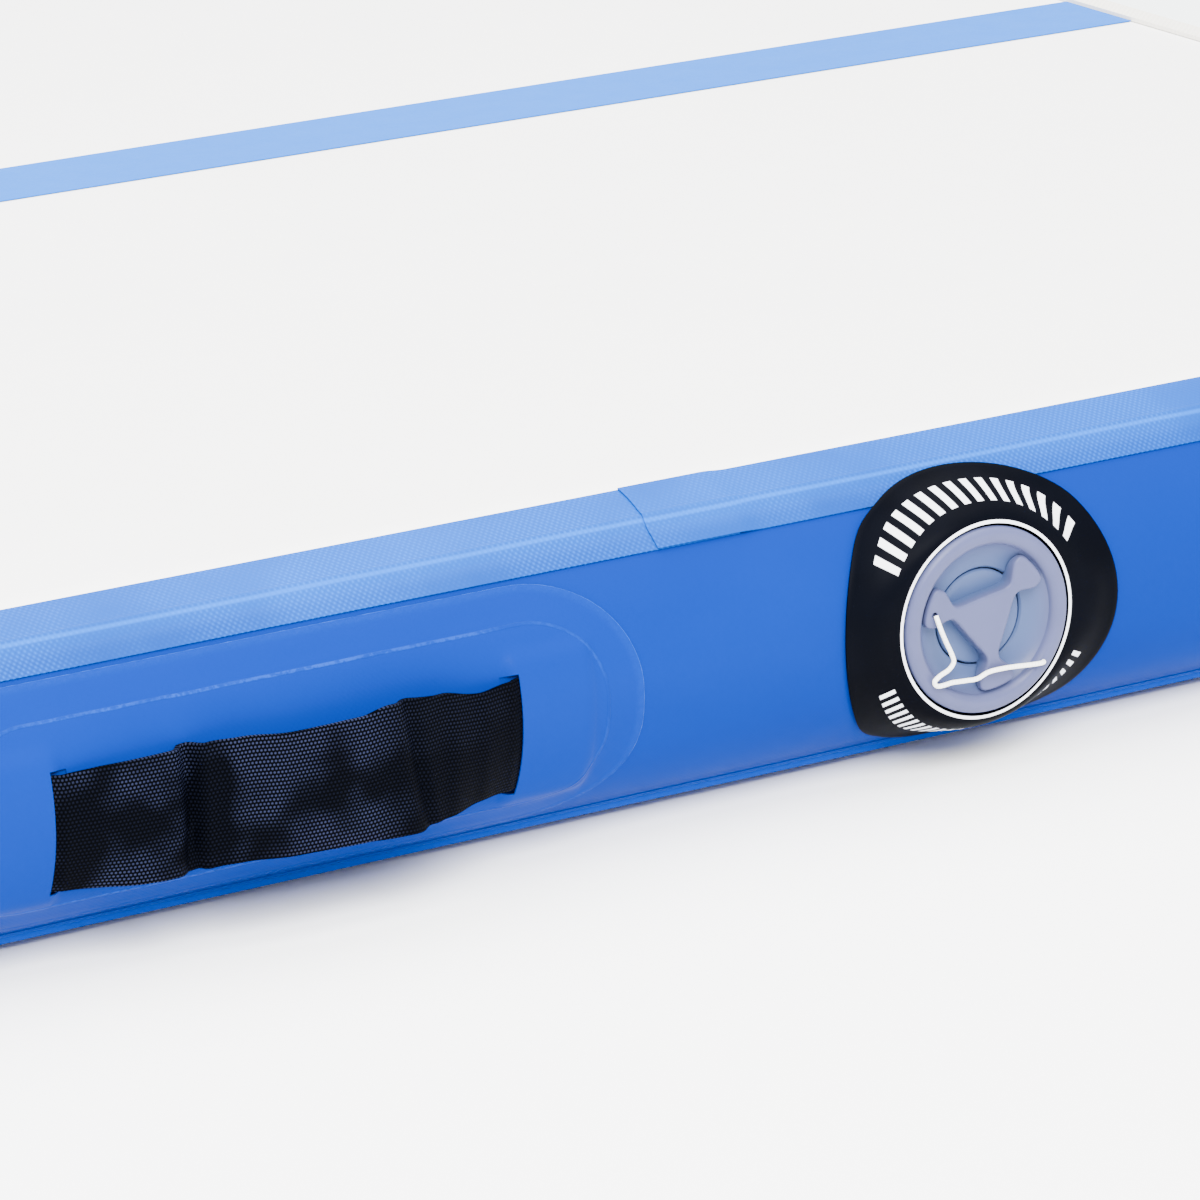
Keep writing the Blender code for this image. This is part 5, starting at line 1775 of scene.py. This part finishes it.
    def housing(self) -> bpy.types.Object:
        """The housing: flange, rounded rim, dish, bore and throat in one moulding.

        Returns:
            The piece.
        """
        edge, top = self.flange_radius, -self.flange_proud
        back = -1.6 * MM
        profile = [(24.6 * MM, back), (edge - 0.5 * MM, back)]
        profile += self.arc(edge - 0.5 * MM, back - 0.5 * MM, 0.5 * MM, 0.5 * MM, -60, 0)
        profile += self.arc(edge - 2.4 * MM, top + 2.0 * MM, 2.4 * MM, 2.0 * MM, 5, 90)
        lip = self.bowl(self.bowl_radius)
        profile += self.arc(self.bowl_radius + 2.6 * MM, lip, 2.6 * MM, lip - top, 95, 172)
        for i in range(1, 9):
            r = self.bowl_radius + (self.bore_radius + 0.5 * MM - self.bowl_radius) * i / 8
            sag = 0.5 * MM * math.sin(math.pi * i / 8)
            profile.append((r, self.bowl(r) + sag))
        profile += [(self.bore_radius, self.bore_top + 0.4 * MM), (self.bore_radius, 13.6 * MM)]
        profile += [(self.bore_radius - 0.4 * MM, 14 * MM)]
        obj = self.turned("valve_housing_moulded", profile + in_mm(self.throat))
        return self.stand_in(obj, "valve_housing", "mat", Finishes.VALVE)

    def arm_half(self, radius: float) -> float:
        """Half width of a knob arm at a radius, in millimetres: hub, narrow neck, then a wide paddle."""
        neck, flare, root = self.arm_widths
        flare *= share_of(radius, *self.flare_span)
        root *= 1 - share_of(radius, *self.root_span)
        return neck + flare + root

    def knob_outline(self) -> list[tuple[float, float]]:
        """The knob's three-armed outline.

        Returns:
            (right, up) points in metres, anticlockwise seen from outside.
        """
        half = [(r, self.arm_half(r)) for r in evenly(6.7, 19.4, 0.85)]
        bends = [math.radians(a) for a in (72, 54, 36, 20)]
        half += [(20.0 + 2.3 * math.cos(a), 3.9 + 2.3 * math.sin(a)) for a in bends]
        half += [(22.45, 3.2), (22.6, 1.6)]
        profile = [(r, -v) for r, v in half] + [(22.65, 0.0)] + half[::-1]
        points = []
        for degrees in sorted(self.arm_deg):
            c, s = math.cos(math.radians(degrees)), math.sin(math.radians(degrees))
            points += [((c * r - s * v) * MM, (s * r + c * v) * MM) for r, v in profile]
        return points

    def knob(self) -> bpy.types.Object:
        """The knob with rounded upper edges, its arms reaching out over the dish.

        Returns:
            The object.
        """
        outline = self.knob_outline()
        count = len(outline)
        outward = []
        for i in range(count):
            before, after = Vector(outline[i - 1]), Vector(outline[(i + 1) % count])
            along = (after - before).normalized()
            outward.append((along.y, -along.x))
        f = self.knob_fillet
        levels: list[tuple[float, float | None]] = [(0.0, None), (0.0, 0.5 * MM)]
        bends = [math.radians(a) for a in (0, 22, 45, 68, 90)]
        levels += [(f * (1 - math.cos(a)), self.knob_top + f * (1 - math.sin(a))) for a in bends]
        levels.append((f + 0.5 * MM, self.knob_top))
        points, faces = [], []
        for inset, depth in levels:
            for (u, v), (du, dv) in zip(outline, outward):
                r = math.hypot(u, v)
                over_plug = r < self.bore_radius - 0.8 * MM
                low = self.bore_top + 0.6 * MM if over_plug else self.bowl(r) - 0.6 * MM
                level = low if depth is None else min(depth, low - 0.2 * MM)
                points.append(self.at(u - du * inset, v - dv * inset, level))
        for k in range(len(levels) - 1):
            for i in range(count):
                j = (i + 1) % count
                faces.append((k * count + i, k * count + j, (k + 1) * count + j, (k + 1) * count + i))
        faces.append(tuple(range(count))[::-1])
        faces.append(tuple((len(levels) - 1) * count + i for i in range(count)))
        obj = add_mesh("knob", points, faces)
        point_out(obj)
        x, y, z = self.at(*self.tether_hole, self.knob_top)
        return cut(obj, cylinder("drill", x, z, self.drill_radius, (y - 2 * MM, y + 1.6 * MM), 24))

    def cap(self) -> bpy.types.Object:
        """The cap: its knob, and the plug that fills the bore.

        Returns:
            The piece.
        """
        disc = self.bore_radius - 0.55 * MM
        top = self.bore_top
        profile = [(0.0, top + 0.2 * MM), (9.0 * MM, top + 0.2 * MM), (12.0 * MM, top)]
        profile += [(disc - 1.0 * MM, top - 0.2 * MM), (disc - 0.4 * MM, top - 0.1 * MM)]
        profile += [(disc, top + 0.4 * MM), (disc, 9.2 * MM)]
        plug = self.turned("cap_plug", profile + in_mm(self.plug_back))
        knob = self.knob()
        for piece in (plug, knob):
            piece.select_set(True)
        bpy.context.view_layer.objects.active = plug
        with bpy.context.temp_override(
            active_object=plug,
            object=plug,
            selected_objects=[plug, knob],
            selected_editable_objects=[plug, knob],
        ):
            bpy.ops.object.join()
        plug.name = "valve_cap_moulded"
        return self.stand_in(plug, "valve_cap", "cap", Finishes.VALVE)

    def spring(self) -> bpy.types.Object:
        """The poppet's spring, a wire coil round its stem.

        Returns:
            The piece.
        """
        low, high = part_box("valve_spring")
        wire = self.coil_wire
        sizes = {
            "Radius": (high.x - low.x) / 2 - wire,
            "Height": high.y - low.y - 2 * wire,
            "Turns": self.coil_turns,
            "Steps": 150,
            "Wire Radius": wire,
        }
        recipe = Recipe("spring_coil", sizes)
        coil = recipe.board.add(
            "GeometryNodeCurveSpiral",
            None,
            {
                "Resolution": recipe.size("Steps"),
                "Rotations": recipe.size("Turns"),
                "Start Radius": recipe.size("Radius"),
                "End Radius": recipe.size("Radius"),
                "Height": recipe.size("Height"),
            },
        )
        recipe.close(recipe.sweep(coil, "Wire Radius", 10), Finishes.STEEL)
        start = Vector(((low.x + high.x) / 2, low.y + wire, (low.z + high.z) / 2))
        obj = recipe.make("valve_spring_wire", [], [], start, Matrix.Rotation(math.radians(-90), 4, "X"))
        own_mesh(obj)
        return self.stand_in(obj, "valve_spring", "mat", Finishes.STEEL)

    def ring(self) -> list[tuple[float, float]]:
        """The round section of the cap's sealing ring. Returns: (radius, depth) points."""
        radius, depth = self.ring_centre
        half = self.ring_radius
        turns = [2 * math.pi * i / self.ring_steps for i in range(self.ring_steps)]
        return [(radius + half * math.cos(a), depth + half * math.sin(a)) for a in turns]

    def build(self) -> list[bpy.types.Object]:
        """Makes the valve's pieces.

        Returns:
            The pieces.
        """
        made = [self.rubber_patch(), self.housing(), self.cap()]
        seal = self.turned("cap_o_ring_seal", self.ring(), 80.0)
        made.append(self.stand_in(seal, "cap_o_ring", "cap_seal", Finishes.RUBBER))
        poppet = self.turned("valve_poppet_moulded", in_mm(self.button))
        made.append(self.stand_in(poppet, "valve_poppet", "poppet", Finishes.VALVE))
        made.append(self.spring())
        for node, finish in (
            ("valve_nut", Finishes.VALVE),
            ("stem_guide", Finishes.VALVE),
            ("poppet_seal", Finishes.RUBBER),
            ("flange_gasket", Finishes.RUBBER),
        ):
            finish.on(bpy.data.objects[node])
        return made


@dataclass
class CapTether:
    """The thin cord that keeps the cap with the mat, in two lengths."""

    valve: InflationValve
    diameter: float = 1.5 * MM
    sides: int = 12
    spacing: float = 0.45 * MM
    route: tuple[Point, ...] = (
        (-19.2, 5.1, -4.4), (-19.0, 3.4, -5.2), (-18.0, 0.2, -5.6), (-16.3, -3.8, -5.7), (-14.6, -7.4, -5.7),
        (-13.9, -10.2, -5.8), (-15.8, -12.2, -6.0), (-19.2, -13.6, -6.1), (-21.2, -15.2, -6.2),
        (-19.6, -16.8, -6.1), (-14.6, -16.6, -5.9), (-9.5, -17.0, -5.8), (-5.3, -17.2, -5.7),
        (-1.2, -15.9, -5.7), (3.3, -15.7, -5.7), (8.0, -15.9, -5.7), (13.0, -16.3, -5.8), (17.0, -16.6, -5.8),
        (19.3, -16.7, -5.4), (19.9, -16.75, -4.4),
    )  # fmt: skip
    split: int = 10

    def path(self, places: Sequence[Point]) -> list[Vector]:
        """Evenly spaced points on a smooth curve through listed places.

        Args:
            places: (right, up, depth) in millimetres.

        Returns:
            The points, in metres in the mat's frame.
        """
        knots = [Vector(self.valve.at(*(v * MM for v in p))) for p in places]
        dense = []
        for i in range(len(knots) - 1):
            a, b, c, d = (knots[min(max(i + o, 0), len(knots) - 1)] for o in (-1, 0, 1, 2))
            for s in evenly(0.0, 1.0, 0.05)[:-1]:
                bend = (2 * a - 5 * b + 4 * c - d) * s**2 + (3 * b - a - 3 * c + d) * s**3
                dense.append(b + ((c - a) * s + bend) / 2)
        dense.append(knots[-1])
        made, left = [dense[0]], self.spacing
        for p, q in zip(dense, dense[1:]):
            span = (q - p).length
            while span > 1e-9 and left <= span:
                p = p + (q - p) * (left / span)
                made.append(p)
                span, left = (q - p).length, self.spacing
            left -= span
        if (made[-1] - dense[-1]).length > self.spacing / 2:
            made.append(dense[-1])
        return made

    def tube(self, name: str, path: list[Vector]) -> bpy.types.Object:
        """A round tube along a path, closed at both ends.

        Args:
            name: The object's name.
            path: Its centre line.

        Returns:
            The object.
        """
        points, maps = [], []
        normal = Vector((0.0, -1.0, 0.0))
        along = 0.0
        for i, p in enumerate(path):
            before, after = path[max(i - 1, 0)], path[min(i + 1, len(path) - 1)]
            ahead = (after - before).normalized()
            normal = (normal - ahead * normal.dot(ahead)).normalized()
            side = ahead.cross(normal)
            along += (p - path[i - 1]).length if i else 0.0
            for k in range(self.sides):
                a = 2 * math.pi * k / self.sides
                points.append(p + (normal * math.cos(a) + side * math.sin(a)) * self.diameter / 2)
                maps.append(along)
        faces, pairs = [], []
        for i in range(len(path) - 1):
            for k in range(self.sides):
                j = (k + 1) % self.sides
                low, high = i * self.sides, (i + 1) * self.sides
                faces.append((low + k, low + j, high + j, high + k))
                far = k + 1
                pairs += [(maps[low], k), (maps[low], far), (maps[high], far), (maps[high], k)]
        last = (len(path) - 1) * self.sides
        faces += [tuple(range(self.sides))[::-1], tuple(last + k for k in range(self.sides))]
        pairs += [(0.0, 0.0)] * self.sides * 2
        obj = add_mesh(name, points, faces)
        layer = obj.data.uv_layers.new(name="cloth")
        layer.data.foreach_set("uv", [v for u, k in pairs for v in (u, k / self.sides)])
        point_out(obj)
        return bake(obj, 60.0)

    def build(self) -> list[bpy.types.Object]:
        """Makes both lengths of the cord.

        Returns:
            The pieces.
        """
        made = []
        for name, places, bodies in (
            ("cap_tether_knob_end", self.route[: self.split + 1], ("cap", "cap_seal")),
            ("cap_tether_rim_end", self.route[self.split :], ("cap_seal", "mat")),
        ):
            path = self.path(places)
            length = sum((q - p).length for p, q in zip(path, path[1:]))
            obj = self.tube(name, path)
            Finishes.CORD.on(obj)
            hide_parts("cap_tether")
            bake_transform(obj)
            made.append(obj)
        return made


# ---- Deck markings ----


@dataclass
class DeckMarkings:
    """The centre line, and the trim and pale panel at each end."""

    nodes: tuple[tuple[str, Finishes], ...] = (
        ("centre_line", Finishes.LINE),
        ("end_trim_right", Finishes.TRIM),
        ("end_trim_left", Finishes.TRIM),
        ("end_panel_right", Finishes.PANEL),
        ("end_panel_left", Finishes.PANEL),
    )

    def build(self) -> list[bpy.types.Object]:
        """Dresses the markings. Returns: the pieces."""
        return [finish.on(bpy.data.objects[node]) for node, finish in self.nodes]


# ---- Studio ----


@dataclass(frozen=True)
class Lamp:
    """A square soft light: where it hangs, what it points at, the length of its sides and its watts."""

    name: str
    place: Point
    aim: Point
    size: float
    power: float

    def hang(self) -> bpy.types.Object:
        """Puts the light up. Returns: the light."""
        data = bpy.data.lights.new(self.name, "AREA")
        data.size = self.size
        data.energy = self.power
        lamp = bpy.data.objects.new(self.name, data)
        lamp.location = self.place
        lamp.rotation_euler = (Vector(self.aim) - Vector(self.place)).to_track_quat("-Z", "Y").to_euler()
        bpy.context.scene.collection.objects.link(lamp)
        return lamp


@dataclass
class Studio:
    """A pale floor, soft lights and the camera."""

    focal: float = 183.22
    eye: Point = (-0.28771, -1.98021, 0.62513)
    right: Point = (0.862068, -0.506074, -0.026971)
    up: Point = (0.176028, 0.249099, 0.952346)
    forward: Point = (0.475239, 0.825735, -0.303824)
    floor_size: float = 24.0
    floor_shade: float = 0.96
    floor_roughness: float = 0.9
    air: float = 2.0
    lamps: tuple[Lamp, ...] = (
        Lamp("overhead", (0.4, 0.3, 2.6), (0.4, 0.1, 0.0), 3.6, 375.0),
        Lamp("front", (-0.3, -3.2, 3.0), (0.4, -0.4, 0.0), 2.4, 700.0),
    )

    def floor(self) -> bpy.types.Object:
        """The floor that the mat lies on.

        Returns:
            The object.
        """
        half = self.floor_size / 2
        corners = [(-half, -half, 0.0), (half, -half, 0.0), (half, half, 0.0), (-half, half, 0.0)]
        obj = add_mesh("studio_floor", corners, [(0, 1, 2, 3)])
        finish = bpy.data.materials.new("studio_floor_white")
        finish.use_nodes = True
        shader = finish.node_tree.nodes["Principled BSDF"]
        shader.inputs["Base Color"].default_value = (*[self.floor_shade] * 3, 1.0)
        shader.inputs["Roughness"].default_value = self.floor_roughness
        obj.data.materials.append(finish)
        return obj

    def camera(self) -> bpy.types.Object:
        """The camera.

        Returns:
            The camera.
        """
        data = bpy.data.cameras.new("camera")
        data.sensor_width = 36.0
        data.lens = self.focal
        data.clip_start = 0.01
        data.clip_end = 100.0
        obj = bpy.data.objects.new("camera", data)
        columns = (self.right, self.up, tuple(-v for v in self.forward))
        turn = Matrix([[columns[c][r] for c in range(3)] for r in range(3)]).to_4x4()
        obj.matrix_world = Matrix.Translation(self.eye) @ turn
        bpy.context.scene.collection.objects.link(obj)
        bpy.context.scene.camera = obj
        return obj

    def build(self) -> None:
        """Sets up the floor, the lights and the camera."""
        self.floor()
        world = bpy.data.worlds.new("studio_air")
        world.use_nodes = True
        sky = world.node_tree.nodes["Background"]
        sky.inputs["Color"].default_value = (1.0, 1.0, 1.0, 1.0)
        sky.inputs["Strength"].default_value = self.air
        bpy.context.scene.world = world
        for lamp in self.lamps:
            lamp.hang()
        self.camera()


def main() -> None:
    """Builds the mat's looks round its frame."""
    logging.basicConfig(level=logging.INFO, format="%(name)s: %(message)s")
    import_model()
    shape = MatShape()
    parts: list[Any] = [InflatedBody(shape), SeamTapes(shape), DeckMarkings()]
    for side in ("front", "back"):
        parts += [CarryHandle(shape, side, end) for end in ("left", "right")]
    valve = InflationValve(shape)
    parts += [valve, CapTether(valve)]
    for part in parts:
        for piece in part.build():
            LOG.info("%s: %s, %d faces", type(part).__name__, piece.name, len(piece.data.polygons))
    Studio().build()


if __name__ == "__main__":
    main()
